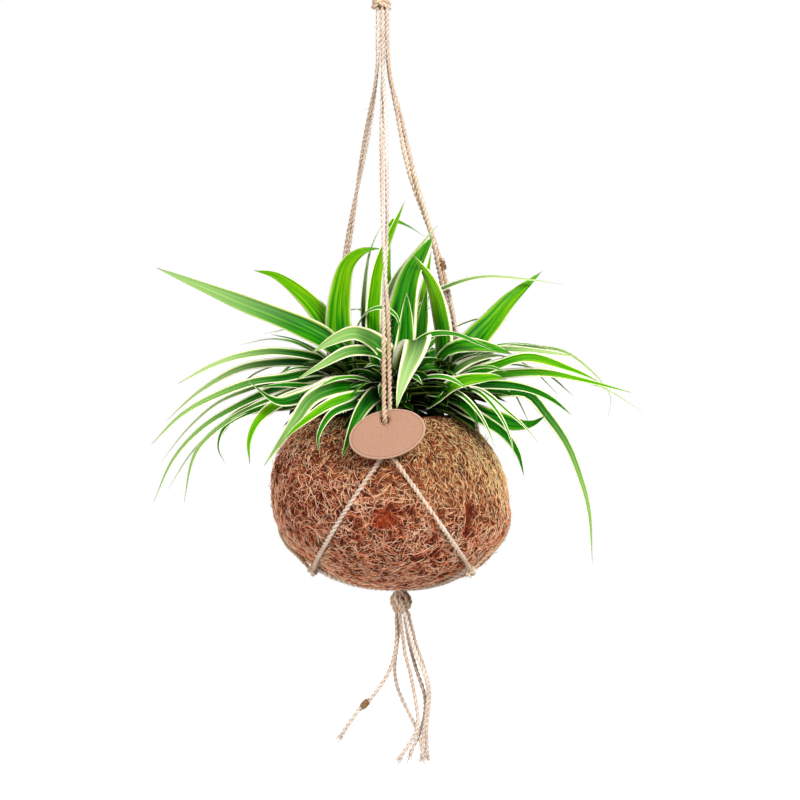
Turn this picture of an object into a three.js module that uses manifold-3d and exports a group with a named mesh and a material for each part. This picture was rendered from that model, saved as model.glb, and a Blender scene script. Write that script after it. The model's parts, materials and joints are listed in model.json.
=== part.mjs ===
// A spider plant growing from a hollow coir ball that hangs in a knotted jute hanger.
// Millimetres, +Z up, seen from -Y. The origin is where a hook bears, at the inside top of the hanging loop.
import * as THREE from "three";
import { mergeVertices } from "three/addons/utils/BufferGeometryUtils.js";
import Module from "manifold-3d";

const wasm = await Module();
wasm.setup();

// Twine
const TWINE_RADIUS = 1.8;
const GAP = 0.35; // between two pieces that touch
const PAIR_HALF = TWINE_RADIUS + 0.3; // half the spacing of two twines that run side by side
const LIE = TWINE_RADIUS + 0.65; // how far a twine's middle lies from the coir
const LEG_SIDES = 6;
const TAIL_SIDES = 8;

// Coir ball: rounder and taller above its widest line than below, with an axis that shifts by lean for each mm down.
// Its outline is (r / radius)^power + (height / tall)^power = 1.
const BALL = { x: 6.9, z: -483, radius: 97.5, above: 88, below: 71.5, powerAbove: 2, powerBelow: 2.15, lean: 0.074 };
const WALL = 9;
const MOUTH = { outer: 62, inner: 53, top: 68.7, outerAngle: 50.5, innerAngle: 53.2 };
const BALL_SEGMENTS = 32;

// Hanging loop: three folded twines side by side
const LOOP = { count: 3, spacing: 4, half: [[2.1, -59.3], [3.6, -52], [9.5, -38], [14.8, -25], [15.8, -14], [11.2, -2.8]] };
const LOOP_TOP = 1.8;

// Knots
const TOP_KNOT = { x: -0.6, z: -70 };
const SHOULDER_KNOT = 5;
const LOWER_KNOT = 4.6;
const BOTTOM_KNOT = { x: 15.6, neck: 5 };
const KEPT_OFF = { leg: 0.45, netTop: 0.95, netEnd: 0.65, under: 1 }; // how far outside a knot each twine's middle ends

// Side legs: the middle of each pair of twines from the top knot to its shoulder knot, and how often the pair twists
const LEGS = {
  right: {
    turns: 1.25,
    middle: [[4.4, 0, -81], [4.4, 0, -105], [6.2, 1.2, -132], [14.8, 6.1, -169.5], [19.8, 9.9, -194],
      [26.4, 13.8, -219], [36.5, 18.5, -249], [44.9, 22.7, -276.5], [54.2, 28.8, -315], [61.1, 33.7, -347],
      [73, 41.9, -401], [81.6, 48.2, -441]],
  },
  left: {
    turns: 1.75,
    middle: [[-3.6, 0, -81], [-3.6, 0, -105], [-4.2, 1.9, -130], [-22.4, 23.5, -233.7], [-40.6, 45.1, -337.3],
      [-58.8, 66.7, -441]],
  },
};
const LEG_STEPS = 17;
const UNTWISTED = 0.16; // share of a leg that hangs in the bundle under the top knot

// Front leg: the first twine comes over the tag's top edge and goes back through its hole, the second ends at the knot
const FRONT_LEG = [
  [[0.4, -2.1, -81], [0.4, -2.1, -105], [0.9, -4.6, -130], [2.9, -13.9, -165.4], [4.2, -26.5, -215],
    [4.4, -38.2, -262], [3.2, -48.4, -299.2], [1.9, -59.8, -334.7], [1.9, -65.6, -352], [2.2, -76.2, -385],
    [2.3, -81, -397], [2.5, -87.7, -406], [2.7, -91.3, -412], [2.8, -91.8, -414.7], [2.85, -89.3, -417.2],
    [2.9, -86.7, -419.6], [2.9, -86.8, -422.7], [3, -88.2, -429.5], [3.2, -90.1, -435.6]],
  [[0.4, 2.1, -81], [0.4, 2.1, -105], [0.9, -0.4, -130], [-0.1, -11.1, -164.6], [0, -26.5, -215],
    [1.1, -41.4, -262], [3.2, -53, -300.8], [5.5, -61.8, -335.3], [6, -65.6, -352], [6.5, -75.2, -385],
    [6.9, -82.6, -410], [7.3, -91.5, -441]],
];
const FRONT_KNOT = [5.2, -91.5, -441];

// Tag: an oval plate whose lower edge stands off, over the front shoulder knot
const TAG = { at: [4.9, -93.8, -427.4], half: [30.5, 20.2], thick: 2, turn: 16, lean: 24, hole: [1.2, 11.4], holeRadius: 3.6 };

// Net: the front twines start aside of their knot and look nearly straight from the front, with a bulge.
// The others turn from start to end, directions in degrees round the ball: 0 faces the viewer, 90 is +X, 180 the back.
const NET = [
  { from: "front", to: "right", aside: 2.2, bulge: 1 },
  { from: "front", to: "left", aside: -2.2, bulge: -3 },
  { from: "right", to: "right", start: 119.4, end: 57.5 },
  { from: "right", to: "back", start: 124.2, end: 180 },
  { from: "left", to: "back", start: 220.9, end: 180 },
  { from: "left", to: "left", start: 225.6, end: 293 },
];
const LOWER = { right: 57.5, back: 180, left: 293 };
const NET_TOP = -444;
const LOWER_Z = -535.5;

// Tails: the route of each loose end under the bottom knot
const TAILS = [
  [[12, 0, -575], [12.1, 0, -583], [12.2, -0.5, -591.5], [11.8, -1, -599.5], [10.9, -1.5, -607.5], [9.1, -2, -615],
    [6.3, -3, -622.5], [3, -4, -629], [-1, -5, -635], [-5.4, -6, -641], [-9.8, -6.5, -646.5], [-14.4, -7, -650.5],
    [-19, -7, -655], [-23.5, -7, -661], [-28, -6.5, -667.5], [-33.7, -6, -676.5]],
  [[14.3, 4, -575], [14.2, 4.2, -583], [13.6, 4.6, -591.5], [12.6, 5, -600], [11.6, 5.5, -608], [10.6, 6, -616],
    [10.3, 6.5, -624], [11.2, 7, -632], [13, 7.5, -639.5], [15.6, 8, -646], [18.4, 8, -652], [21.4, 8, -658],
    [24.6, 7.6, -664.5], [27.8, 7.3, -671], [30.8, 7.1, -680], [33.8, 7, -690]],
  [[14.3, -4, -575], [15.2, -4.2, -583], [16.6, -4.5, -592], [17.8, -5, -600.5], [19, -5.5, -608.5], [20.8, -6, -616],
    [22.8, -6.5, -623], [24.6, -7, -631], [26.2, -7.5, -639], [27.6, -8, -647], [28.8, -8.5, -655], [29.4, -9, -663],
    [28.4, -9.5, -671], [25.2, -10, -678], [20.6, -10.5, -685], [14.4, -11, -694]],
  [[18.9, 4, -575], [19.4, 3.6, -583], [20.8, 2.8, -592], [22.4, 2, -600.5], [24.2, 1.2, -608.5], [26.4, 0.5, -616.5],
    [28.8, 0, -624.5], [31.6, -0.5, -632.5], [34.2, -1, -640.5], [35.6, -1.5, -648.5], [35.4, -2, -656.5],
    [33.8, -2.5, -664.5], [31.6, -3, -672], [28.8, -3.5, -679], [26, -4, -685.5], [23, -4.5, -692]],
  [[18.9, -4, -575], [20.8, -3.8, -583], [22.8, -3.8, -591.5], [24.8, -4, -599.5], [27.2, -4.2, -607],
    [30.2, -4.4, -614.5], [33.4, -4.8, -621.5], [36, -5.2, -629], [37.6, -5.6, -637], [37.8, -6, -645],
    [36.8, -6.6, -653], [35.6, -7.2, -661], [34.6, -8, -669], [33.8, -8.8, -677], [33.2, -9.4, -685], [32.9, -10, -693.5]],
  [[21.2, 0, -575], [23, 0.6, -583], [25.2, 1.4, -591], [27.4, 2.2, -600], [30, 3.2, -608], [32.8, 4, -616],
    [35.4, 4.6, -624], [37.6, 5, -632], [39, 5.2, -640], [39.2, 5.2, -648], [38.4, 5, -656], [37.4, 4.6, -664],
    [36.8, 4.2, -672], [36.8, 3.6, -680], [37, 3, -688], [37.2, 2.6, -694.5]],
];

// Plant: leaf points are measured from its own middle at the height of the crowns
const PLANT = { x: 5.8, z: -405 };
const CROWN = { radius: 7.5, neck: 4.5, top: 11, foot: -32 };
const LEAF_STATIONS = 8;
const ARCH_STATIONS = 6;
const LEAF_FOLD = 0.34; // how far the margins stand up, as a share of the half width
const LEAF_THICK = 1.3; // at the rib

// Each leaf: width, roll of its face towards the viewer in degrees, and the points its rib passes, root left out
const leaf = (width, roll, ...points) => ({ width, roll, points });

// Each plain arching leaf: width, roll, direction, length, lift at the root and at the tip in degrees
const arch = (width, roll, direction, length, lift, fall) => ({ width, roll, direction, length, lift, fall });

const ROSETTES = {
  left: {
    at: [-28, -2],
    leaves: [
      leaf(24, 66, [-32, -4, 31], [-50, -10, 51], [-72, -16, 63], [-121, -29, 83], [-188, -40, 111]),
      leaf(22, 64, [-36, 4, 36], [-53, 10, 69], [-73, 18, 92], [-95, 26, 108], [-114, 36, 113]),
      leaf(26, 10, [-37, 0, 34], [-41, 2, 61], [-40, 3, 93], [-34, 4, 116], [-23, 5, 126], [3, 8, 127]),
      leaf(13, 45, [-28, -8, 36], [-26, -14, 62], [-18, -20, 75], [-5, -24, 79], [6, -28, 72], [10, -30, 60]),
      leaf(10, 45, [-43, -6, 31], [-88, -13, 43], [-120, -18, 40], [-144, -22, 32], [-172, -26, 17]),
      leaf(11, 40, [-46, 6, 26], [-66, 10, 34], [-102, 14, 34], [-126, 17, 29], [-158, 22, 11], [-187, 26, -14]),
      leaf(11, 40, [-48, -14, 25], [-88, -28, 21], [-110, -34, 18], [-142, -42, 6], [-166, -50, -8], [-190, -58, -32]),
      leaf(9, 35, [-50, 6, 24], [-84, 18, 22], [-118, 28, 12], [-144, 34, 1], [-171, 40, -22], [-194, 46, -50]),
      leaf(8, 40, [-50, -10, 20], [-88, -16, 14], [-123, -20, -1], [-151, -24, -18], [-174, -28, -43], [-191, -32, -80]),
      leaf(7, 30, [-48, 0, 22], [-102, 4, 8], [-140, 8, -18], [-162, 10, -38], [-184, 12, -71]),
      leaf(7, 40, [-46, -16, 18], [-90, -30, 6], [-128, -40, -12], [-151, -44, -32], [-158, -46, -46], [-164, -50, -79]),
      leaf(7, 40, [-44, -20, 14], [-90, -36, 2], [-131, -42, -17], [-137, -44, -34], [-131, -46, -47]),
      leaf(14, 55, [-44, -24, 12], [-84, -40, 4], [-105, -46, -12], [-112, -50, -29], [-111, -52, -48]),
      leaf(13, 45, [-42, -14, 14], [-65, -22, 5], [-84, -28, -1], [-103, -32, -4], [-119, -36, -9]),
      leaf(10, 40, [-40, -14, 22], [-56, -24, 15], [-84, -34, 16], [-108, -42, 14]),
      leaf(15, 50, [-38, -30, 16], [-70, -46, 6], [-90, -54, 3], [-114, -60, 21]),
      arch(11, 30, 284, 95, 66, 5),
      arch(9, 30, 304, 84, 50, -25),
      arch(13, 10, 248, 125, 60, -20),
      arch(11, 0, 236, 150, 40, -50),
    ],
  },
  right: {
    at: [38, -4],
    leaves: [
      leaf(18, 12, [42, -6, 25], [44, -8, 54], [42, -9, 72], [35, -10, 99], [20, -12, 123]),
      leaf(22, 62, [48, 6, 24], [74, 16, 57], [84, 22, 68], [99, 32, 86], [129, 44, 113]),
      leaf(16, 40, [44, -6, 26], [58, -10, 40], [88, -16, 45], [125, -24, 43], [153, -30, 39]),
      leaf(8, 40, [46, 6, 28], [90, 12, 46], [132, 18, 47], [148, 20, 43], [165, 23, 31], [178, 25, 18], [185, 26, 6],
        [182, 26, -12]),
      leaf(12, 45, [46, -10, 20], [81, -30, 29], [111, -38, 38], [148, -46, 28], [168, -52, 19]),
      leaf(10, 40, [48, -4, 18], [88, -6, 24], [126, -8, 26], [155, -10, 21], [199, -12, 10]),
      leaf(8, 40, [48, 6, 16], [88, 18, 24], [130, 26, 26], [175, 34, 16], [214, 42, -6]),
      leaf(11, 45, [46, -16, 14], [74, -36, 16], [106, -48, 14], [128, -54, 6], [146, -60, -8]),
      leaf(11, 55, [46, -10, 12], [84, -16, 9], [112, -20, 9], [128, -22, -8], [144, -24, -31], [155, -25, -58],
        [162, -26, -84], [165, -28, -129]),
      leaf(13, 40, [41, -34, 4], [46, -48, 12], [62, -60, 20], [84, -68, 22], [98, -72, 16]),
      leaf(6, 40, [46, -20, 10], [73, -50, 12], [96, -60, -6], [110, -66, -19], [119, -70, -30]),
      leaf(6, 40, [44, -24, 10], [58, -64, 8], [69, -76, -3], [78, -82, -18], [84, -86, -34]),
      leaf(6, 40, [46, -24, 12], [72, -62, 10], [88, -72, -8], [96, -78, -26], [99, -82, -42]),
      leaf(9, 40, [50, -8, 6], [66, -14, -6], [90, -20, -14], [113, -24, -16], [125, -28, -9]),
      leaf(10, 45, [46, -20, 4], [72, -42, -10], [92, -50, -23], [103, -54, -38], [108, -58, -57]),
      arch(13, 30, 64, 96, 62, 0),
      arch(10, 30, 44, 90, 48, -20),
      arch(13, 10, 96, 120, 58, -20),
      arch(11, 0, 114, 145, 42, -48),
    ],
  },
  front: {
    at: [4, -30],
    leaves: [
      leaf(18, 40, [-4, -32, 44], [-26, -40, 60], [-38, -44, 57], [-60, -48, 43]),
      leaf(14, 40, [-6, -38, 38], [-30, -48, 43], [-55, -56, 31], [-75, -62, 19]),
      leaf(17, 45, [-28, -48, 20], [-46, -64, 17], [-61, -70, 8], [-74, -76, -12], [-98, -86, -48]),
      leaf(14, 45, [-14, -52, 14], [-34, -72, 9], [-51, -84, 1], [-75, -92, -19], [-84, -95, -30]),
      leaf(11, 45, [-16, -50, 12], [-27, -76, 4], [-45, -88, -5], [-55, -94, -25], [-53, -96, -39]),
      leaf(16, 50, [-8, -58, 14], [-19, -80, 4], [-27, -88, -12], [-37, -94, -42]),
      leaf(22, 80, [9, -26, 25], [13, -24, 57], [14.5, -24, 91.5]),
      leaf(12, 40, [12, -28, 36], [30, -32, 55], [52, -36, 57], [71, -40, 50], [90, -44, 41]),
      leaf(30, 10, [14, -36, 34], [24, -48, 53], [22, -66, 38], [15, -76, 18], [7, -84, -3]),
      arch(13, 20, 332, 60, 62, -20),
      arch(12, 20, 24, 66, 58, -35),
      arch(14, 20, 50, 84, 44, -35),
      arch(13, 20, 306, 80, 40, -30),
    ],
  },
  middle: {
    at: [6, 0],
    leaves: [
      leaf(20, 82, [-10, -2, 30], [-14, -5, 62], [-12.5, -8, 91], [-8, -10, 117], [13, -16, 167]),
      leaf(7, 20, [-20, 8, 60], [-20, 13, 104], [-15, 16, 131], [-5, 18, 152]),
      leaf(9, 40, [2, 10, 60], [-2, 24, 120], [2, 30, 153], [16, 38, 150], [31, 44, 141]),
      leaf(11, 25, [-2, 8, 50], [2, 10, 96], [24, 10, 129], [41, 10, 150]),
      leaf(34, 85, [7, -2, 40], [10, -4, 62], [13, -5, 84], [19, -5, 109], [37, -2, 140]),
      leaf(17, 85, [14, 4, 34], [24, 6, 62], [29, 7, 95], [35, 8, 128]),
      leaf(25, 80, [20, -10, 25], [27, -16, 58], [31, -18, 96]),
      leaf(9, 35, [12, 4, 50], [19, 6, 79], [40, 10, 94], [75, 20, 106], [115, 30, 105], [147, 38, 101]),
      arch(12, 0, 205, 92, 80, 35),
      arch(13, 0, 150, 100, 76, 25),
    ],
  },
  back: {
    at: [8, 32],
    leaves: [
      arch(13, 10, 117, 180, 50, -52),
      arch(17, -10, 127, 150, 66, -10),
      arch(11, 10, 140, 215, 40, -62),
      arch(15, 0, 150, 165, 58, -30),
      arch(12, 15, 160, 225, 46, -70),
      arch(18, -10, 169, 170, 68, -22),
      arch(10, 10, 177, 205, 34, -58),
      arch(16, 0, 186, 190, 56, -48),
      arch(12, -15, 196, 225, 42, -66),
      arch(18, 10, 204, 155, 70, -12),
      arch(11, 0, 212, 200, 50, -60),
      arch(14, 10, 231, 175, 48, -50),
      arch(10, -10, 239, 210, 30, -58),
      arch(14, 0, 266, 140, 64, -20),
    ],
  },
};

const COLOURS = {
  jute: { color: 0xb59a78, roughness: 0.95, metalness: 0 },
  coir: { color: 0x8a5a36, roughness: 1, metalness: 0 },
  soil: { color: 0x33261c, roughness: 1, metalness: 0 },
  leaf: { color: 0x5f9a3a, roughness: 0.45, metalness: 0 },
  tag: { color: 0xc99a7c, roughness: 0.8, metalness: 0 },
};

const part = new THREE.Group();
const ball = new THREE.Group();
ball.position.set(BALL.x, 0, BALL.z);
const plant = new THREE.Group();
plant.position.set(PLANT.x, 0, PLANT.z);
part.add(ball, plant);

const vector = ([x, y, z]) => new THREE.Vector3(x, y, z);
const radians = THREE.MathUtils.degToRad;
const mix = (a, b, t) => a + (b - a) * t;

// A unit vector round the ball, level
function facing(direction) {
  return new THREE.Vector3(Math.sin(radians(direction)), -Math.cos(radians(direction)), 0);
}

function addPiece(group, name, geometry, colour) {
  const mesh = new THREE.Mesh(geometry, new THREE.MeshStandardMaterial(COLOURS[colour]));
  mesh.name = name;
  group.add(mesh);
  return mesh;
}

function toSolid(geometry) {
  const bare = geometry.clone();
  bare.deleteAttribute("normal");
  bare.deleteAttribute("uv");
  const merged = mergeVertices(bare, 1e-4);
  return new wasm.Manifold(new wasm.Mesh({
    numProp: 3,
    vertProperties: merged.attributes.position.array,
    triVerts: new Uint32Array(merged.index.array),
  }));
}

function toGeometry(solid) {
  const mesh = solid.getMesh();
  const geometry = new THREE.BufferGeometry();
  geometry.setAttribute("position", new THREE.BufferAttribute(mesh.vertProperties, 3));
  geometry.setIndex(new THREE.BufferAttribute(mesh.triVerts, 1));
  geometry.computeVertexNormals();
  return geometry;
}

// A smooth route that keeps its sections as close together as its own points
class Route extends THREE.CatmullRomCurve3 {
  getPointAt(u, target) {
    return this.getPoint(u, target);
  }

  getTangentAt(u, target) {
    return this.getTangent(u, target);
  }
}

// A round rod of few sides along a list of points
function rod(points, sides, steps) {
  const section = new THREE.Shape();
  for (let i = 0; i < sides; i++) {
    const turn = (2 * Math.PI * (i + 0.5)) / sides;
    section[i ? "lineTo" : "moveTo"](TWINE_RADIUS * Math.cos(turn), TWINE_RADIUS * Math.sin(turn));
  }
  return new THREE.ExtrudeGeometry(section, { steps, bevelEnabled: false, extrudePath: new Route(points) });
}

// A solid of revolution about Z from [radius, height] pairs that start and end on the axis, going up
function turned(profile, segments) {
  return new THREE.LatheGeometry(profile.map(([r, z]) => new THREE.Vector2(r, z)), segments).rotateX(Math.PI / 2);
}

// The ball's half height and its outline's power, above or below its widest line
function ballShape(height) {
  return height > 0 ? [BALL.above, BALL.powerAbove] : [BALL.below, BALL.powerBelow];
}

// The ball's profile, shrunk inwards: the point at an angle above the widest line
function profilePoint(angle, inwards) {
  const [tall, power] = ballShape(angle);
  const [level, up] = [Math.cos(radians(angle)), Math.sin(radians(angle))];
  return [level ** (2 / power) * (BALL.radius - inwards), Math.sign(up) * Math.abs(up) ** (2 / power) * (tall - inwards)];
}

function profileAngles(from, to, count) {
  return Array.from({ length: count + 1 }, (_, i) => mix(from, to, i / count));
}

// Heights from here on are over the ball's widest line, unless they are called z
function ballRadius(height) {
  const [tall, power] = ballShape(height);
  return BALL.radius * (1 - Math.min(1, Math.abs(height) / tall) ** power) ** (1 / power);
}

// Where the ball's leaning axis is
function axisX(height) {
  return BALL.x - BALL.lean * height;
}

// Shifts a solid of revolution sideways level by level, as the axis leans
function lean(geometry) {
  return geometry.applyMatrix4(new THREE.Matrix4().set(1, 0, -BALL.lean, 0, 0, 1, 0, 0, 0, 0, 1, 0, 0, 0, 0, 1));
}

// A point off the ball's side, in the part's frame
function overBall(direction, z, off) {
  const height = z - BALL.z;
  const radius = ballRadius(height);
  const [tall, power] = ballShape(height);
  const out = (radius / BALL.radius) ** (power - 1) / BALL.radius;
  const up = (Math.sign(height) * (Math.abs(height) / tall) ** (power - 1)) / tall;
  const size = Math.hypot(out, up);
  const point = facing(direction).multiplyScalar(radius + (off * out) / size);
  return point.add(new THREE.Vector3(axisX(height), 0, z + (off * up) / size));
}

// The height of the underside at a place in plan, found in a few steps because the axis leans
function underBall(x, y) {
  let height = -BALL.below;
  for (let step = 0; step < 5; step++) {
    const share = Math.min(0.99, Math.hypot(x - axisX(height), y) / BALL.radius);
    height = -BALL.below * (1 - share ** BALL.powerBelow) ** (1 / BALL.powerBelow);
  }
  return height;
}

// The part of a route that lies outside two knots
function between(points, startKnot, endKnot) {
  const clear = (knot) => (point) => !knot || point.distanceTo(knot.at) > knot.radius;
  const fine = new THREE.CatmullRomCurve3(points).getSpacedPoints(1600);
  const kept = fine.filter(clear(startKnot)).filter(clear(endKnot));
  return new THREE.CatmullRomCurve3(kept);
}

function addShell() {
  const outer = profileAngles(-90, MOUTH.outerAngle, 10).map((angle) => profilePoint(angle, 0));
  const inner = profileAngles(MOUTH.innerAngle, -90, 6).map((angle) => profilePoint(angle, WALL));
  outer[0][0] = 0;
  inner[inner.length - 1][0] = 0;
  const rim = [[(MOUTH.outer + MOUTH.inner) / 2, MOUTH.top]];
  addPiece(ball, "coir_ball", lean(turned([...outer, ...rim, ...inner], BALL_SEGMENTS)), "coir");
}

function addSoil() {
  const side = profileAngles(-90, MOUTH.innerAngle, 6).map((angle) => profilePoint(angle, WALL + GAP));
  side[0][0] = 0;
  const dome = [[40, 65.5], [20, 68], [0, 69]];
  let soil = toSolid(lean(turned([...side, ...dome], BALL_SEGMENTS)));
  for (const { at } of Object.values(ROSETTES)) {
    const floor = PLANT.z - BALL.z + CROWN.foot - GAP;
    const depth = 80;
    const hole = new THREE.CylinderGeometry(CROWN.radius + GAP, CROWN.radius + GAP, depth, 10).rotateX(Math.PI / 2);
    hole.translate(PLANT.x - BALL.x + at[0], at[1], floor + depth / 2);
    soil = soil.subtract(toSolid(hole));
  }
  addPiece(ball, "root_ball", toGeometry(soil), "soil");
}

function addLoop() {
  const side = LOOP.half;
  for (let i = 0; i < LOOP.count; i++) {
    const y = (i - (LOOP.count - 1) / 2) * LOOP.spacing;
    const points = [
      ...side.map(([x, z]) => new THREE.Vector3(-x, y, z)),
      new THREE.Vector3(0, y, LOOP_TOP),
      ...side.map(([x, z]) => new THREE.Vector3(x, y, z)).reverse(),
    ];
    addPiece(part, `loop_twine_${i + 1}`, rod(points, LEG_SIDES, 2 * side.length), "jute");
  }
}

// A knot: a lumpy core with one turn of twine wrapped slantwise round it
function knot(profile, wrap) {
  const core = toSolid(turned(profile, 10));
  const ring = new THREE.TorusGeometry(wrap.radius, wrap.thick, 6, 14);
  ring.rotateX(radians(wrap.tilt)).translate(0, 0, wrap.z);
  return toGeometry(core.add(toSolid(ring)));
}

function addTopKnot() {
  const profile = [[0, -10.6], [7.4, -10.6], [8.6, -6], [7.8, -1], [8.8, 4], [7.2, 10], [0, 10]];
  const mesh = addPiece(part, "top_knot", knot(profile, { radius: 7, thick: 3, tilt: 24, z: 0 }), "jute");
  mesh.position.set(TOP_KNOT.x, 0, TOP_KNOT.z);
}

function addBottomKnot() {
  const neck = BOTTOM_KNOT.neck;
  const profile = [[0, -574.3], [7.6, -574.3], [9.2, -571], [8, -568], [8.8, -565], [neck + 1, -562.9], [neck, -562.6],
    [neck, -555], [0, -555]];
  const mesh = addPiece(part, "bottom_knot", knot(profile, { radius: 7.4, thick: 3, tilt: 16, z: -568.6 }), "jute");
  mesh.position.x = BOTTOM_KNOT.x;
}

// One of the two twines of a leg, wound about the leg's middle
function legStrand({ middle, turns }, strand) {
  const curve = new THREE.CatmullRomCurve3(middle.map(vector));
  const points = [];
  for (let i = 0; i <= LEG_STEPS; i++) {
    const u = i / LEG_STEPS;
    const along = curve.getTangentAt(u);
    const across = new THREE.Vector3(1, 0, 0).addScaledVector(along, -along.x).normalize();
    const behind = new THREE.Vector3().crossVectors(along, across);
    const twist = Math.max(0, (u - UNTWISTED) / (1 - UNTWISTED));
    const angle = Math.PI * (0.5 + strand) + 2 * Math.PI * turns * twist;
    const point = curve.getPointAt(u);
    point.addScaledVector(across, PAIR_HALF * Math.cos(angle)).addScaledVector(behind, PAIR_HALF * Math.sin(angle));
    points.push(point);
  }
  return points;
}

function shoulderKnot(name) {
  return { at: vector(name === "front" ? FRONT_KNOT : LEGS[name].middle.at(-1)), radius: SHOULDER_KNOT };
}

function lowerKnot(name) {
  return { at: overBall(LOWER[name], LOWER_Z, LOWER_KNOT + 0.4), radius: LOWER_KNOT };
}

// A knot with the space it keeps clear of the middle of a twine that ends at it
function reach({ at, radius }, off) {
  return { at, radius: radius + off };
}

function addLegs() {
  for (const name of ["front", ...Object.keys(LEGS)]) {
    for (const strand of [0, 1]) {
      const threaded = name === "front" && strand === 0;
      const route = name === "front" ? FRONT_LEG[strand].map(vector) : legStrand(LEGS[name], strand);
      const clipped = between(route, null, reach(shoulderKnot(name), KEPT_OFF.leg));
      const points = threaded ? route.filter((p) => p.z > -430).concat(clipped.points.at(-1)) : clipped.getSpacedPoints(LEG_STEPS);
      addPiece(part, `leg_twine_${name}_${strand + 1}`, rod(points, LEG_SIDES, points.length - 1), "jute");
    }
  }
}

function addSmallKnot(name, { at, radius }) {
  addPiece(part, name, new THREE.IcosahedronGeometry(radius, 1), "jute").position.copy(at);
}

// The direction of a net twine at a share of its way down
function netTurn({ from, to, aside, bulge, start, end }, down) {
  if (!aside) return mix(start, end, down ** 1.6);
  const height = mix(NET_TOP, LOWER_Z, down) - BALL.z;
  const x = mix(shoulderKnot(from).at.x + aside, lowerKnot(to).at.x, down) + 4 * bulge * down * (1 - down);
  return THREE.MathUtils.radToDeg(Math.asin((x - axisX(height)) / (ballRadius(height) + LIE)));
}

function addNet() {
  NET.forEach((row, i) => {
    const points = [];
    for (let k = 0; k <= 8; k++) points.push(overBall(netTurn(row, k / 8), mix(NET_TOP, LOWER_Z, k / 8), LIE));
    const ends = [reach(shoulderKnot(row.from), KEPT_OFF.netTop), reach(lowerKnot(row.to), KEPT_OFF.netEnd)];
    const kept = between(points, ...ends).getSpacedPoints(7);
    addPiece(part, `net_twine_${i + 1}`, rod(kept, LEG_SIDES, 7), "jute");
  });
}

// Two twines from each lower knot along the underside to the neck of the bottom knot
function addUnderTwines() {
  const middle = new THREE.Vector3(BOTTOM_KNOT.x, 0, 0);
  for (const name of Object.keys(LOWER)) {
    const lower = lowerKnot(name);
    const start = lower.at.clone().setZ(0);
    const inwards = middle.clone().sub(start).normalize();
    const aside = new THREE.Vector3(-inwards.y, inwards.x, 0);
    for (const side of [-1, 1]) {
      const last = middle.clone().addScaledVector(inwards, -BOTTOM_KNOT.neck - GAP).addScaledVector(aside, side * PAIR_HALF);
      const points = [];
      for (let k = 0; k <= 8; k++) {
        const point = start.clone().addScaledVector(aside, side * PAIR_HALF).lerp(last, k / 8);
        point.z = BALL.z + underBall(point.x, point.y) - LIE;
        points.push(point);
      }
      const kept = between(points, reach(lower, KEPT_OFF.under), null).getSpacedPoints(6);
      addPiece(part, `under_twine_${name}_${side < 0 ? 1 : 2}`, rod(kept, LEG_SIDES, 6), "jute");
    }
  }
}

function addTails() {
  TAILS.forEach((route, i) => {
    addPiece(part, `tail_${i + 1}`, rod(route.map(vector), TAIL_SIDES, route.length - 1), "jute");
  });
}

function addTag() {
  const plate = new THREE.Shape();
  plate.absellipse(0, 0, TAG.half[0], TAG.half[1], 0, 2 * Math.PI);
  const hole = new THREE.Path();
  hole.absarc(TAG.hole[0], TAG.hole[1], TAG.holeRadius, 0, 2 * Math.PI, true);
  plate.holes.push(hole);
  const geometry = new THREE.ExtrudeGeometry(plate, { depth: TAG.thick, bevelEnabled: false, curveSegments: 16 });
  geometry.translate(0, 0, -TAG.thick / 2).rotateZ(radians(TAG.turn)).rotateX(Math.PI / 2);
  const mesh = addPiece(part, "tag", geometry, "tag");
  mesh.rotation.x = -radians(TAG.lean);
  mesh.position.set(...TAG.at);
}

// The share of its full width that a blade has along its length, from its root to its tip
function bladeWidth(s) {
  return (0.5 + 0.5 * THREE.MathUtils.smoothstep(s, 0, 0.38)) * (1 - s ** 2.2);
}

// The points of a plain arching leaf, whose slope eases from its lift to its fall
function archPoints(root, { direction, length, lift, fall }) {
  const steps = 24;
  const along = facing(direction);
  const point = root.clone();
  const points = [];
  for (let i = 0; i < steps; i++) {
    const slope = radians(mix(lift, fall, ((i + 0.5) / steps) ** 1.15));
    point.addScaledVector(along, (Math.cos(slope) * length) / steps);
    point.z += (Math.sin(slope) * length) / steps;
    if ((i + 1) % 6 === 0) points.push(point.clone());
  }
  return points;
}

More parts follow.
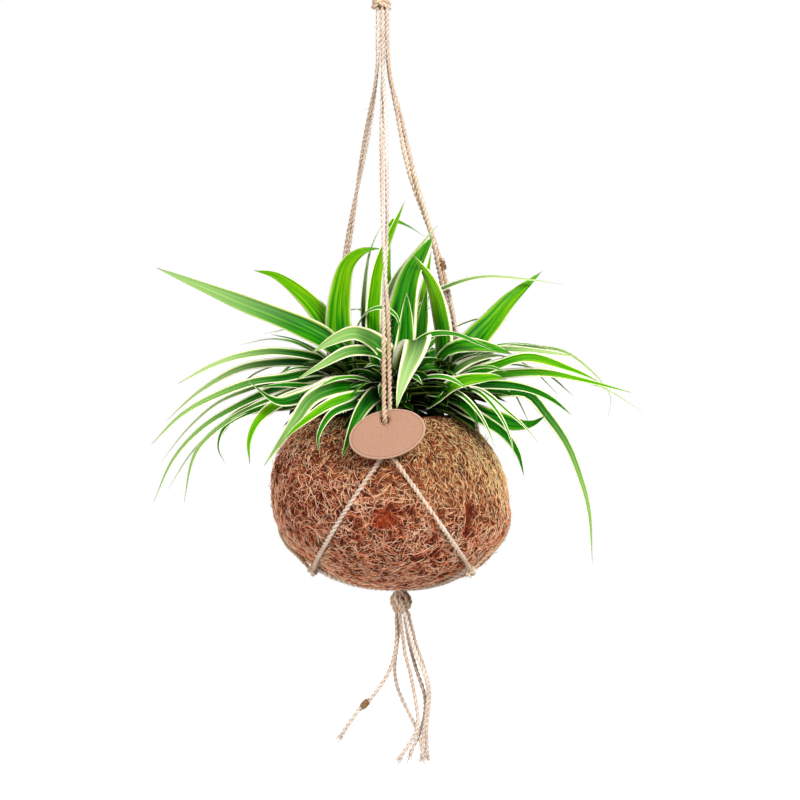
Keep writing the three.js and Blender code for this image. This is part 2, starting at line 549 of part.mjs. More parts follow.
// One blade as a closed solid: a folded strip, thickest at its rib, that ends in a point
function bladeSolid(root, row) {
  const rest = row.points ? row.points.map(vector) : archPoints(root, row);
  const tip = rest.at(-1);
  const level = rest.reduce((sum, point) => sum.add(point).sub(root), new THREE.Vector3()).setZ(0).normalize();
  const start = root.clone().addScaledVector(level, 2.5);
  const curve = new THREE.CatmullRomCurve3([start, ...rest]);
  const roll = radians(row.roll) * (level.x < 0 ? -1 : 1);
  const vertices = [];
  const stations = row.points ? LEAF_STATIONS : ARCH_STATIONS;
  for (let i = 0; i < stations; i++) {
    const s = i / stations;
    const point = curve.getPointAt(s);
    const along = curve.getTangentAt(s);
    const flatUp = level.clone().multiplyScalar(-along.z).add(new THREE.Vector3(0, 0, along.dot(level)));
    flatUp.addScaledVector(along, -flatUp.dot(along)).normalize();
    const flatSide = new THREE.Vector3().crossVectors(along, flatUp);
    const up = flatUp.multiplyScalar(Math.cos(roll)).addScaledVector(flatSide, Math.sin(roll));
    const side = new THREE.Vector3().crossVectors(along, up);
    const half = (row.width / 2) * bladeWidth(s);
    const rise = LEAF_FOLD * half * (1 - 0.5 * s);
    const thick = LEAF_THICK * (1 - 0.3 * s);
    for (const [across, above] of [[half, rise], [0, thick / 2], [-half, rise], [0, -thick / 2]]) {
      vertices.push(...point.clone().addScaledVector(side, across).addScaledVector(up, above).toArray());
    }
  }
  vertices.push(...tip.toArray());
  return new wasm.Manifold(new wasm.Mesh({
    numProp: 3,
    vertProperties: new Float32Array(vertices),
    triVerts: new Uint32Array(bladeTriangles(stations)),
  }));
}

// Both faces of a blade are split along the same lines, from each margin to the next point of the rib
function bladeTriangles(stations) {
  const triangles = [0, 1, 2, 0, 2, 3];
  const tip = 4 * stations;
  for (let i = 0; i < stations; i++) {
    for (let a = 0; a < 4; a++) {
      const b = (a + 1) % 4;
      const [a0, b0, a1, b1] = [4 * i + a, 4 * i + b, 4 * i + 4 + a, 4 * i + 4 + b];
      if (i === stations - 1) triangles.push(a0, tip, b0);
      else if (a % 2 === 0) triangles.push(a0, b1, b0, a0, a1, b1);
      else triangles.push(a0, a1, b0, b0, a1, b1);
    }
  }
  return triangles;
}

// A solid without the hollows that its joined pieces close off
function filled(solid) {
  return solid.decompose().filter((piece) => piece.volume() > 0).reduce((whole, piece) => whole.add(piece));
}

// A crown that stands in its hole, with its leaves sunk into it
function addRosette(name, { at, leaves }) {
  const profile = [[0, CROWN.foot], [CROWN.radius - 1.5, CROWN.foot], [CROWN.radius, CROWN.foot + 3], [CROWN.radius, 1],
    [CROWN.neck, CROWN.top], [0, CROWN.top + 1]];
  let solid = toSolid(turned(profile, 10).translate(at[0], at[1], 0));
  leaves.forEach((row, i) => {
    const root = new THREE.Vector3(at[0], at[1], 1 + 1.6 * (i % 5));
    solid = solid.add(bladeSolid(root, row));
  });
  addPiece(plant, `leaves_${name}`, toGeometry(filled(solid)), "leaf");
}

addLoop();
addTopKnot();
addLegs();
for (const name of ["front", ...Object.keys(LEGS)]) addSmallKnot(`shoulder_knot_${name}`, shoulderKnot(name));
addNet();
for (const name of Object.keys(LOWER)) addSmallKnot(`lower_knot_${name}`, lowerKnot(name));
addUnderTwines();
addBottomKnot();
addTails();
addTag();
addShell();
addSoil();
for (const [name, rosette] of Object.entries(ROSETTES)) addRosette(name, rosette);

export default part;
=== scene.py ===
"""Looks of a spider plant in a hollow coir ball that hangs in a knotted jute hanger.

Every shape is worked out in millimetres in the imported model's own frame and goes into its mesh in metres.
"""

import json
import logging
import math
from dataclasses import dataclass, field
from enum import Enum

import bpy
import numpy as np
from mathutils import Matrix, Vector

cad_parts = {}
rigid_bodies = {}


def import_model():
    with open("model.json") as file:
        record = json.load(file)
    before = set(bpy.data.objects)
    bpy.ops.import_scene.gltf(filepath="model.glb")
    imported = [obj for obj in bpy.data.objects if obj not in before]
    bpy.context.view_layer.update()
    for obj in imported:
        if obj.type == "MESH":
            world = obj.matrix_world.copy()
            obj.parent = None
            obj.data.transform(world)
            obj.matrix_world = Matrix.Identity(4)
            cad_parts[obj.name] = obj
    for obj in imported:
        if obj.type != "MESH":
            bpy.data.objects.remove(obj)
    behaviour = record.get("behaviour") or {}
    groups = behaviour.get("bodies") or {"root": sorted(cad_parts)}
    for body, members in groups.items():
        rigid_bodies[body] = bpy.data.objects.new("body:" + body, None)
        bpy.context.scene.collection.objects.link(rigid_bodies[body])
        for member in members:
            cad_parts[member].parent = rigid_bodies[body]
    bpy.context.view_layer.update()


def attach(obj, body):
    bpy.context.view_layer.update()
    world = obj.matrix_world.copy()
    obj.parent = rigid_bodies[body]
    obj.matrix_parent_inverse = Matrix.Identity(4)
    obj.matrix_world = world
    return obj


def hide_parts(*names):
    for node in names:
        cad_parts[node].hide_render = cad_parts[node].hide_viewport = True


Array = np.ndarray
Point = tuple[float, float, float]
Built = tuple[Array, list[Array], dict[str, Array]]  # points, arrays of triangles or quads, and attributes

MM = 0.001
UP = np.array([0.0, 0.0, 1.0])
BACK = np.array([0.0, 1.0, 0.0])
RIGHT = np.array([1.0, 0.0, 0.0])
log = logging.getLogger("planter")


# Curves and grids


def unit(vectors: Array) -> Array:
    """Vectors scaled to length 1 along their last axis."""
    return vectors / np.maximum(np.linalg.norm(vectors, axis=-1, keepdims=True), 1e-9)


def square(vectors: Array, along: Array) -> Array:
    """The part of vectors that is square to unit directions, scaled to length 1."""
    return unit(vectors - along * np.sum(along * vectors, axis=-1, keepdims=True))


def smoothstep(x: Array, low: float, high: float) -> Array:
    """0 below low, 1 above high, and 3t² - 2t³ between them."""
    t = np.clip((x - low) / (high - low), 0, 1)
    return t * t * (3 - 2 * t)


def phase(rng: np.random.Generator) -> float:
    """A seeded start for a sine wave, over nearly a full turn."""
    return rng.random() * 6


def catmull(points: Array, at: Array) -> Array:
    """A centripetal Catmull-Rom curve: its knots are spaced by the square root of the points' distance.

    Args:
        points: the points that the curve passes through.
        at: parameters from 0 to 1, spread evenly over the spans.

    Returns:
        One point for each parameter.
    """
    p = np.asarray(points, float)
    p = np.vstack([2 * p[0] - p[1], p, 2 * p[-1] - p[-2]])
    where = np.clip(at, 0, 1) * (len(p) - 3)
    i = np.minimum(where.astype(int), len(p) - 4)
    w = (where - i)[:, None]
    a, b, c, d = p[i], p[i + 1], p[i + 2], p[i + 3]
    da, db, dc = (np.sqrt(np.linalg.norm(v, axis=1))[:, None] + 1e-9 for v in (b - a, c - b, d - c))
    t1 = ((b - a) / da - (c - a) / (da + db) + (c - b) / db) * db
    t2 = ((c - b) / db - (d - b) / (db + dc) + (d - c) / dc) * db
    return b + w * (t1 + w * (-3 * b + 3 * c - 2 * t1 - t2 + w * (2 * b - 2 * c + t1 + t2)))


def lengths(line: Array) -> Array:
    """The length run from the first point of a line to each of its points."""
    return np.concatenate([[0], np.cumsum(np.linalg.norm(np.diff(line, axis=0), axis=1))])


def resample(line: Array, step: float) -> Array:
    """A polyline's points moved so that they lie evenly, about one step apart."""
    run = lengths(line)
    want = np.linspace(0, run[-1], max(4, round(run[-1] / step) + 1))
    return np.column_stack([np.interp(want, run, line[:, k]) for k in range(3)])


def smooth(points: Array | list[Point], step: float) -> Array:
    """The Catmull-Rom curve through points, as points about one step apart."""
    return resample(catmull(points, np.linspace(0, 1, 60 * len(points))), step)


def directions(line: Array) -> Array:
    """The direction of a line at each of its points."""
    return unit(np.gradient(line, axis=0))


def around(count: int) -> Array:
    """Angles spread evenly over a full turn."""
    return np.arange(count) * 2 * math.pi / count


def turned(radius: Array, height: Array, columns: int) -> Array:
    """A profile turned round the Z axis, from the side that faces the viewer: x = r sin a and y = -r cos a.

    Args:
        radius: one for each row, or rows × columns where it changes round the axis.
        height: one for each row.
        columns: points in a full turn.

    Returns:
        Points as rows × columns × 3.
    """
    radius = radius.reshape(len(height), -1)
    turn = around(columns)
    x, y = radius * np.sin(turn), -radius * np.cos(turn)
    return np.stack([x, y, np.broadcast_to(height[:, None], x.shape)], -1)


def grid_faces(rows: int, columns: int) -> Array:
    """Quads of a grid whose points are numbered row by row, with its last column joined to the first."""
    column = np.arange(columns)
    after = (column + 1) % columns
    row = np.arange(rows - 1)[:, None] * columns
    above = row + columns
    return np.stack([row + column, row + after, above + after, above + column], -1).reshape(-1, 4)


def tube_faces(rows: int, columns: int) -> list[Array]:
    """Quads of a closed grid, and triangles from its first and last rows to two points numbered after it."""
    column = np.arange(columns)
    after = (column + 1) % columns
    last, pole = (rows - 1) * columns, np.full(columns, rows * columns)
    start = np.stack([after, column, pole], -1)
    end = np.stack([last + column, last + after, pole + 1], -1)
    return [grid_faces(rows, columns), np.concatenate([start, end])]


def ended(rows: Array, ends: Array | list[Point]) -> Array:
    """Rows of points as one list, followed by the two points that close them."""
    return np.concatenate([rows.reshape(-1, 3), ends])


def bent(root: Array, way: Array, bend: Array, reach: Array, steps: int) -> Array:
    """Short lines that leave their roots along a way and bow off it by the square of the share run."""
    t = np.linspace(0, 1, steps)[None, :, None]
    return root[:, None] + reach[:, None] * (way[:, None] * t + bend[:, None] * t * t)


class Lattice:
    """Smooth noise from -0.5 to 0.5: random values on a cubic lattice, eased between its corners."""

    def __init__(self, seed: int, size: int = 24) -> None:
        """Fills a lattice of size³ corners."""
        self.size = size
        self.values = np.random.default_rng(seed).random((size, size, size))

    def __call__(self, points: Array, scale: float) -> Array:
        """The noise at points, with lumps about one scale across."""
        q = points / scale
        base = np.floor(q).astype(int)
        t = q - base
        t = t * t * (3 - 2 * t)
        total = np.zeros(points.shape[:-1])
        for corner in np.ndindex(2, 2, 2):
            index = (base + corner) % self.size
            weight = np.prod(np.where(corner, t, 1 - t), axis=-1)
            total += weight * self.values[index[..., 0], index[..., 1], index[..., 2]]
        return total - 0.5


def outward(vertices: Array, faces: list[Array]) -> list[Array]:
    """Faces turned so that a closed mesh has a positive volume, by the sum of its corner products."""
    centred = vertices - vertices.mean(axis=0)
    total = 0.0
    for face in faces:
        for k in range(1, face.shape[1] - 1):
            a, b, c = (centred[face[:, corner]] for corner in (0, k, k + 1))
            total += float(np.sum(a * np.cross(b, c)))
    return [face[:, ::-1] for face in faces] if total < 0 else faces


def joined(parts: list[Built]) -> Built:
    """Several meshes, each with its faces outward, numbered as one."""
    start = 0
    faces: list[Array] = []
    for vertices, own, _ in parts:
        faces += [face + start for face in outward(vertices, own)]
        start += len(vertices)
    sizes = sorted({face.shape[1] for face in faces})
    merged = [np.concatenate([face for face in faces if face.shape[1] == size]) for size in sizes]
    attributes = {key: np.concatenate([part[2][key].reshape(-1, 3) for part in parts]) for key in parts[0][2]}
    return np.concatenate([part[0] for part in parts]), merged, attributes


def add_piece(
    name: str, built: Built, material: bpy.types.Material, slot: str, *nodes: str
) -> bpy.types.Object:
    """Puts one closed mesh into the scene, smooth shaded, at the origin and with its place in its points.

    Args:
        name: the piece's name.
        built: points in millimetres in the model's frame, their faces, and three numbers a point by name.
        material: the finish of the whole piece.
        slot: not used.
        nodes: the model's nodes that it stands for.

    Returns:
        The new object, which rides on the part.
    """
    vertices, faces, attributes = built
    vertices = vertices.reshape(-1, 3)
    faces = outward(vertices, faces)
    mesh = bpy.data.meshes.new(name)
    mesh.vertices.add(len(vertices))
    mesh.vertices.foreach_set("co", (vertices * MM).astype(np.float32).ravel())
    corners = np.concatenate([face.ravel() for face in faces]).astype(np.int32)
    sizes = np.concatenate([np.full(len(face), face.shape[1]) for face in faces])
    mesh.loops.add(len(corners))
    mesh.loops.foreach_set("vertex_index", corners)
    mesh.polygons.add(len(sizes))
    mesh.polygons.foreach_set("loop_start", (np.cumsum(sizes) - sizes).astype(np.int32))
    mesh.update(calc_edges=True)
    for key, values in attributes.items():
        layer = mesh.attributes.new(key, "FLOAT_VECTOR", "POINT")
        layer.data.foreach_set("vector", values.reshape(-1).astype(np.float32))
    mesh.polygons.foreach_set("use_smooth", np.ones(len(sizes), bool))
    mesh.materials.append(material)
    made = bpy.data.objects.new(name, mesh)
    bpy.context.scene.collection.objects.link(made)
    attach(made, "root")
    if nodes:
        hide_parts(*nodes)
    log.info("%s: %d faces", name, len(sizes))
    return made


def threads(lines: Array, radius: Array, aside: Array, values: Array) -> tuple[Array, list[Array], Array]:
    """Thin three-sided strands that end in a point at both ends.

    Args:
        lines: strands × points × 3.
        radius: strands × points, not used at the two ends.
        aside: one direction a strand, never along it.
        values: three numbers for each strand, or for each of its points.

    Returns:
        Points, triangles, and the values on the points.
    """
    count, steps, _ = lines.shape
    along = unit(np.gradient(lines, axis=1))
    first = square(aside[:, None], along)
    second = np.cross(along, first)
    turn = around(3)
    ring = np.cos(turn)[:, None] * first[:, :, None] + np.sin(turn)[:, None] * second[:, :, None]
    rings = (lines[:, :, None] + radius[:, :, None, None] * ring)[:, 1:-1]
    vertices = np.concatenate([rings.reshape(count, -1, 3), lines[:, [0, -1]]], axis=1)
    quads, caps = tube_faces(steps - 2, 3)
    one = np.concatenate([quads[:, [0, 1, 2]], quads[:, [0, 2, 3]], caps])
    faces = one + vertices.shape[1] * np.arange(count)[:, None, None]
    values = np.broadcast_to(values.reshape(count, -1, 3), lines.shape)
    values = np.concatenate([np.repeat(values[:, 1:-1], 3, axis=1), values[:, [0, -1]]], axis=1)
    return vertices.reshape(-1, 3), [faces.reshape(-1, 3)], values


# Materials


def colour(code: str) -> tuple[float, float, float, float]:
    """An sRGB hex colour as linear light, with alpha 1."""
    parts = [int(code[i : i + 2], 16) / 255 for i in (1, 3, 5)]
    return (*(c / 12.92 if c <= 0.04045 else ((c + 0.055) / 1.055) ** 2.4 for c in parts), 1.0)


def add(
    tree: bpy.types.NodeTree, kind: str, inputs: dict | None = None, **settings: object
) -> bpy.types.Node:
    """Adds a node with its settings and links.

    Args:
        tree: the material's node tree.
        kind: the node's type without its Shader prefix.
        inputs: for each socket, by name or number, a value or the output that is linked to it.
        settings: properties of the node, or stops of a colour ramp as (place, hex) pairs.

    Returns:
        The new node.
    """
    node = tree.nodes.new("ShaderNode" + kind)
    stops = settings.pop("stops", [])
    for key, value in settings.items():
        setattr(node, key, value)
    if stops:
        ramp = node.color_ramp.elements
        while len(ramp) < len(stops):
            ramp.new(0.5)
        for element, (place, code) in zip(ramp, stops):
            element.position = place
            element.color = colour(code)
    connect(tree, node, inputs or {})
    return node


def connect(tree: bpy.types.NodeTree, node: bpy.types.Node, inputs: dict) -> None:
    """Gives each input, by name or number, its value or a link from the output given for it."""
    for key, value in inputs.items():
        if isinstance(value, bpy.types.NodeSocket):
            tree.links.new(value, node.inputs[key])
        else:
            node.inputs[key].default_value = value


def new_material(name: str) -> tuple[bpy.types.Material, bpy.types.NodeTree, bpy.types.Node]:
    """An empty material, its tree and its Principled shader, which is linked to the output."""
    material = bpy.data.materials.new(name)
    material.use_nodes = True
    tree = material.node_tree
    tree.nodes.clear()
    shader = add(tree, "BsdfPrincipled")
    add(tree, "OutputMaterial", {"Surface": shader.outputs[0]})
    return material, tree, shader


@dataclass(frozen=True)
class JuteTwine:
    """Natural two-ply jute: dull tan bast fibres, darker with painted shade in the groove between the plies.
    """

    # groove is painted shade in the groove between the plies; the lighter crowns of the plies reach light and
    # pale
    groove: str = "#9A7D68"
    body: str = "#C6AA94"
    light: str = "#E3D2C3"
    pale: str = "#F6EFE6"
    aged: str = "#DABE92"
    fibre_mm: float = 0.32  # coarser than the real 0.05 mm, so that it shows
    fibre_run_mm: float = 5.0
    bump_mm: float = 0.25

    def build(self) -> bpy.types.Material:
        """Fibres are noise drawn out along the ply: "fibre" is the place, "strand" depth, tone and age."""
        material, tree, shader = new_material("natural_jute")
        fibre = add(tree, "Attribute", attribute_name="fibre").outputs["Vector"]
        strand = add(tree, "Attribute", attribute_name="strand").outputs["Vector"]
        depth, tone, age = add(tree, "SeparateXYZ", {0: strand}).outputs[:3]
        scale = (1 / self.fibre_mm, 1 / self.fibre_mm, 1 / self.fibre_run_mm)
        drawn = add(tree, "Mapping", {"Vector": fibre, "Scale": scale}).outputs[0]
        grain = {"Vector": drawn, "Scale": 1.0, "Detail": 3.0, "Roughness": 0.6}
        grain = add(tree, "TexNoise", grain).outputs[0]
        # Painted shade: depth is 0 in the groove and 1 on a ply's crown, so the groove is darker and the
        # crown lighter
        deep = add(tree, "Math", {0: depth, 1: 0.24}, operation="MULTIPLY").outputs[0]
        level = add(tree, "Math", {0: grain, 1: 0.95, 2: deep}, operation="MULTIPLY_ADD").outputs[0]
        toned = add(tree, "Math", {0: tone, 1: 0.3, 2: level}, operation="MULTIPLY_ADD").outputs[0]
        stops = [(0.3, self.groove), (0.62, self.body), (0.88, self.light), (1.0, self.pale)]
        fresh = add(tree, "ValToRGB", {0: toned}, stops=stops).outputs[0]
        worn = {0: age, 6: fresh, 7: colour(self.aged)}
        worn = add(tree, "Mix", worn, data_type="RGBA", blend_type="MULTIPLY").outputs[2]
        bump = add(tree, "Bump", {"Height": grain, "Strength": 0.7, "Distance": self.bump_mm * MM}).outputs[0]
        surface = {"Base Color": worn, "Normal": bump, "Roughness": 0.92, "Specular IOR Level": 0.25}
        connect(tree, shader, surface)
        return material


@dataclass(frozen=True)
class CoirFibre:
    """Coconut husk fibre: wiry strands from red-brown to straw gold, slightly glossy."""

    dark: str = "#22080F"
    ruddy: str = "#86281E"
    brown: str = "#F48E66"
    tan: str = "#FFBC8C"
    straw: str = "#FFDDBC"
    golden: str = "#F4FFDC"
    red: str = "#C8400F"

    def build(self) -> bpy.types.Material:
        """Reads "strand": its shade from dark to straw, which holds painted light and shade, how red it is,
        and how golden.
        """
        material, tree, shader = new_material("coconut_fibre")
        strand = add(tree, "Attribute", attribute_name="strand").outputs["Vector"]
        shade, redness, gold = add(tree, "SeparateXYZ", {0: strand}).outputs[:3]
        stops = zip((0.0, 0.22, 0.48, 0.74, 1.0), (self.dark, self.ruddy, self.brown, self.tan, self.straw))
        base = add(tree, "ValToRGB", {0: shade}, stops=list(stops)).outputs[0]
        sunny = {0: gold, 6: base, 7: colour(self.golden)}
        sunny = add(tree, "Mix", sunny, data_type="RGBA", blend_type="MULTIPLY").outputs[2]
        mixed = add(tree, "Mix", {0: redness, 6: sunny, 7: colour(self.red)}, data_type="RGBA").outputs[2]
        connect(tree, shader, {"Base Color": mixed, "Roughness": 0.65, "Specular IOR Level": 0.12})
        return material


@dataclass(frozen=True)
class CoirMat:
    """The pressed coir under the loose fibres: matted strands with painted shade in dark purple-brown gaps
    between them.
    """

    gap_shade: str = "#1A080B"
    dark: str = "#3E1917"
    brown: str = "#743E26"
    tan: str = "#A66A3E"
    strand_mm: float = 1.1
    strand_run_mm: float = 9.0
    clump_mm: float = 7.0
    bump_mm: float = 0.9

    def build(self) -> bpy.types.Material:
        """Two layers of drawn-out noise that cross, whose darker one wins, over clumps."""
        material, tree, shader = new_material("pressed_coir")
        place = add(tree, "TexCoord").outputs["Object"]
        wide, run = 1 / (self.strand_mm * MM), 1 / (self.strand_run_mm * MM)
        scale = (wide, wide, run)
        layers = []
        for turn in ((0.6, 0.35, 0.2), (-0.7, 0.5, 1.3)):
            drawn = add(tree, "Mapping", {"Vector": place, "Rotation": turn, "Scale": scale}).outputs[0]
            noise = {"Vector": drawn, "Scale": 1.0, "Detail": 2.0, "Distortion": 1.2}
            layers.append(add(tree, "TexNoise", noise).outputs[0])
        crossed = add(tree, "Math", {0: layers[0], 1: layers[1]}, operation="MINIMUM").outputs[0]
        lumps = {"Vector": place, "Scale": 1 / (self.clump_mm * MM), "Detail": 2.0}
        clump = add(tree, "TexNoise", lumps).outputs[0]
        level = add(tree, "Math", {0: clump, 1: 0.5, 2: crossed}, operation="MULTIPLY_ADD").outputs[0]
        # The gap and dark stops are painted shade in the gaps between the fibres
        stops = [(0.48, self.gap_shade), (0.6, self.dark), (0.72, self.brown), (0.88, self.tan)]
        base = add(tree, "ValToRGB", {0: level}, stops=stops).outputs[0]
        bump = {"Height": crossed, "Strength": 1.0, "Distance": self.bump_mm * MM}
        bump = add(tree, "Bump", bump).outputs[0]
        surface = {"Base Color": base, "Normal": bump, "Roughness": 0.95, "Specular IOR Level": 0.15}
        connect(tree, shader, surface)
        return material


@dataclass(frozen=True)
class PottingSoil:
    """Damp potting soil: near black crumbs with a few lighter chips."""

    wet: str = "#0E0906"
    crumb: str = "#2C1C12"
    chip: str = "#5A3E28"
    crumb_mm: float = 2.4
    bump_mm: float = 0.6

    def build(self) -> bpy.types.Material:
        """Cells of crumb size, tinted at random and raised by a bump."""
        material, tree, shader = new_material("potting_soil")
        place = add(tree, "TexCoord").outputs["Object"]
        cells = add(tree, "TexVoronoi", {"Vector": place, "Scale": 1 / (self.crumb_mm * MM)})
        tint = add(tree, "SeparateColor", {0: cells.outputs["Color"]}).outputs[0]
        stops = [(0.0, self.wet), (0.6, self.crumb), (0.95, self.chip)]
        base = add(tree, "ValToRGB", {0: tint}, stops=stops).outputs[0]
        bump = {"Height": cells.outputs[0], "Strength": 1.0, "Distance": self.bump_mm * MM}
        bump = add(tree, "Bump", bump, invert=True).outputs[0]
        connect(tree, shader, {"Base Color": base, "Normal": bump, "Roughness": 0.9})
        return material


@dataclass(frozen=True)
class VariegatedLeaf:
    """A living strap leaf: satin cuticle, fine ribs along it, green in the middle with cream margins."""

    black: str = "#032B02"
    deep: str = "#085504"
    green: str = "#2A8603"
    bright: str = "#74AB04"
    yellow: str = "#B4CF3A"
    # pale and grey are the painted sheen on the outer half of a leaf
    pale: str = "#B9CE90"
    grey: str = "#7DA24C"
    cream: str = "#F7F4D4"
    dry: str = "#A08F76"
    # The next colour is painted shade on the cream margins of shaded leaves and near their foot
    dim: str = "#56743A"
    base: str = "#5E8A34"
    # The next colour is painted shadow over the inner half of a leaf that lies in shade
    depth: str = "#041606"
    rib_count: float = 5.5  # ribs on each half of the blade
    rib_mm: float = 0.2

    def build(self) -> bpy.types.Material:
        """Reads "blade" (across -1..1, along 0..1, underside 0..1) and "look" (tone, margin, paleness), whose
        tone and paleness are painted light and shade.
        """
        material, tree, shader = new_material("spider_plant_leaf")
        blade = add(tree, "Attribute", attribute_name="blade").outputs["Vector"]
        look = add(tree, "Attribute", attribute_name="look").outputs["Vector"]
        across, along, under = add(tree, "SeparateXYZ", {0: blade}).outputs[:3]
        tone, margin, pale = add(tree, "SeparateXYZ", {0: look}).outputs[:3]
        ribs = add(tree, "Mapping", {"Vector": blade, "Scale": (self.rib_count, 1.3, 1.0)}).outputs[0]
        ribs = add(tree, "VectorMath", {0: ribs, 1: look}, operation="ADD").outputs[0]
        ribs = {"Vector": ribs, "Scale": 1.0, "Detail": 3.0, "Roughness": 0.6}
        ribs = add(tree, "TexNoise", ribs).outputs[0]

        # Green between the margins, in streaks and blotches: painted shade darkens it towards the foot, so
        # that it is lighter towards the tip, and each leaf's tone sets its painted shade and glow
        near = add(tree, "MapRange", {0: along, 1: 0.05, 2: 0.7, 3: -1.5, 4: -1.05}).outputs[0]
        blotch = add(tree, "Mapping", {"Vector": blade, "Scale": (1.1, 2.6, 0.0)}).outputs[0]
        blotch = add(tree, "VectorMath", {0: blotch, 1: look}, operation="ADD").outputs[0]
        blotch = add(tree, "TexNoise", {"Vector": blotch, "Scale": 1.6, "Detail": 1.0}).outputs[0]
        near = add(tree, "Math", {0: blotch, 1: 0.7, 2: near}, operation="MULTIPLY_ADD").outputs[0]
        shade = add(tree, "Math", {0: tone, 1: near}, operation="ADD").outputs[0]
        streak = add(tree, "Math", {0: ribs, 1: 2.0, 2: shade}, operation="MULTIPLY_ADD").outputs[0]
        stops = [(0.05, self.black), (0.28, self.deep), (0.6, self.green), (0.95, self.bright)]
        green = add(tree, "ValToRGB", {0: streak}, stops=stops).outputs[0]

        # Painted sheen that pales the outer half of a leaf, and a trace of the same pale colour on the
        # underside
        stops = [(0.0, self.grey), (1.0, self.pale)]
        sheen_colour = add(tree, "ValToRGB", {0: ribs}, stops=stops).outputs[0]
        far = add(tree, "MapRange", {0: along, 1: 0.35, 2: 0.85}, interpolation_type="SMOOTHSTEP").outputs[0]
        sheen_share = add(tree, "Math", {0: far, 1: pale}, operation="MULTIPLY").outputs[0]
        backed = add(tree, "Math", {0: under, 1: 0.02}, operation="MULTIPLY").outputs[0]
        share = add(tree, "Math", {0: sheen_share, 1: backed}, operation="MAXIMUM").outputs[0]
        inner = add(tree, "Mix", {0: share, 6: green, 7: sheen_colour}, data_type="RGBA").outputs[2]

        # Cream margins with a ragged inner edge and a yellow rim beside it, dimmed by painted shade on shaded
        # leaves and at the leaf's foot
        out = add(tree, "Math", {0: across}, operation="ABSOLUTE").outputs[0]
        calm = add(tree, "MapRange", {0: along, 1: 0.5, 2: 0.9, 3: 0.12, 4: 0.0}).outputs[0]
        ragged = add(tree, "Math", {0: ribs, 1: calm, 2: out}, operation="MULTIPLY_ADD").outputs[0]
        edge = add(tree, "Math", {0: ragged, 1: margin}, operation="ADD").outputs[0]
        cream = add(tree, "MapRange", {0: edge, 1: 1.0, 2: 1.08}, interpolation_type="SMOOTHSTEP").outputs[0]
        rim = add(tree, "MapRange", {0: edge, 1: 0.86, 2: 1.0}, interpolation_type="SMOOTHSTEP").outputs[0]
        rim = add(tree, "Math", {0: rim, 1: 0.5}, operation="MULTIPLY").outputs[0]
        warm = add(tree, "Mix", {0: rim, 6: inner, 7: colour(self.yellow)}, data_type="RGBA").outputs[2]
        lit = add(tree, "MapRange", {0: tone, 1: -0.25, 2: 0.1}).outputs[0]
        clear = {0: along, 1: 0.06, 2: 0.36}
        clear = add(tree, "MapRange", clear, interpolation_type="SMOOTHSTEP").outputs[0]
        lit = add(tree, "Math", {0: lit, 1: clear}, operation="MULTIPLY").outputs[0]
        border = {0: lit, 6: colour(self.dim), 7: colour(self.cream)}
        border = add(tree, "Mix", border, data_type="RGBA").outputs[2]
        edged = add(tree, "Mix", {0: cream, 6: warm, 7: border}, data_type="RGBA").outputs[2]

        # Dry tip, pale foot, and painted shadow over the inner half of a leaf that lies in shade
        tip = add(tree, "MapRange", {0: along, 1: 0.955, 2: 0.99}).outputs[0]
        final = add(tree, "Mix", {0: tip, 6: edged, 7: colour(self.dry)}, data_type="RGBA").outputs[2]
        foot = add(tree, "MapRange", {0: along, 1: 0.14, 2: 0.02}).outputs[0]
        weak = add(tree, "Math", {0: foot, 1: 0.25}, operation="MULTIPLY").outputs[0]
        final = add(tree, "Mix", {0: weak, 6: final, 7: colour(self.base)}, data_type="RGBA").outputs[2]
        painted_shadow = add(tree, "MapRange", {0: pale, 1: 0.0, 2: -1.0}).outputs[0]
        cover = add(tree, "MapRange", {0: along, 1: 0.7, 2: 0.32}, interpolation_type="SMOOTHSTEP").outputs[0]
        painted_shadow = add(tree, "Math", {0: painted_shadow, 1: cover}, operation="MULTIPLY").outputs[0]
        final = add(tree, "Mix", {0: painted_shadow, 6: final, 7: colour(self.depth)}, data_type="RGBA").outputs[2]
        flat = add(tree, "MapRange", {0: along, 1: 0.2, 2: 0.65, 3: 1.0, 4: 0.0}).outputs[0]
        ridges = add(tree, "Math", {0: ribs, 1: flat}, operation="MULTIPLY").outputs[0]
        bump = add(tree, "Bump", {"Height": ridges, "Strength": 0.5, "Distance": self.rib_mm * MM}).outputs[0]
        surface = {"Base Color": final, "Normal": bump, "Roughness": 0.45, "Specular IOR Level": 0.05}
        connect(tree, shader, surface)
        return material


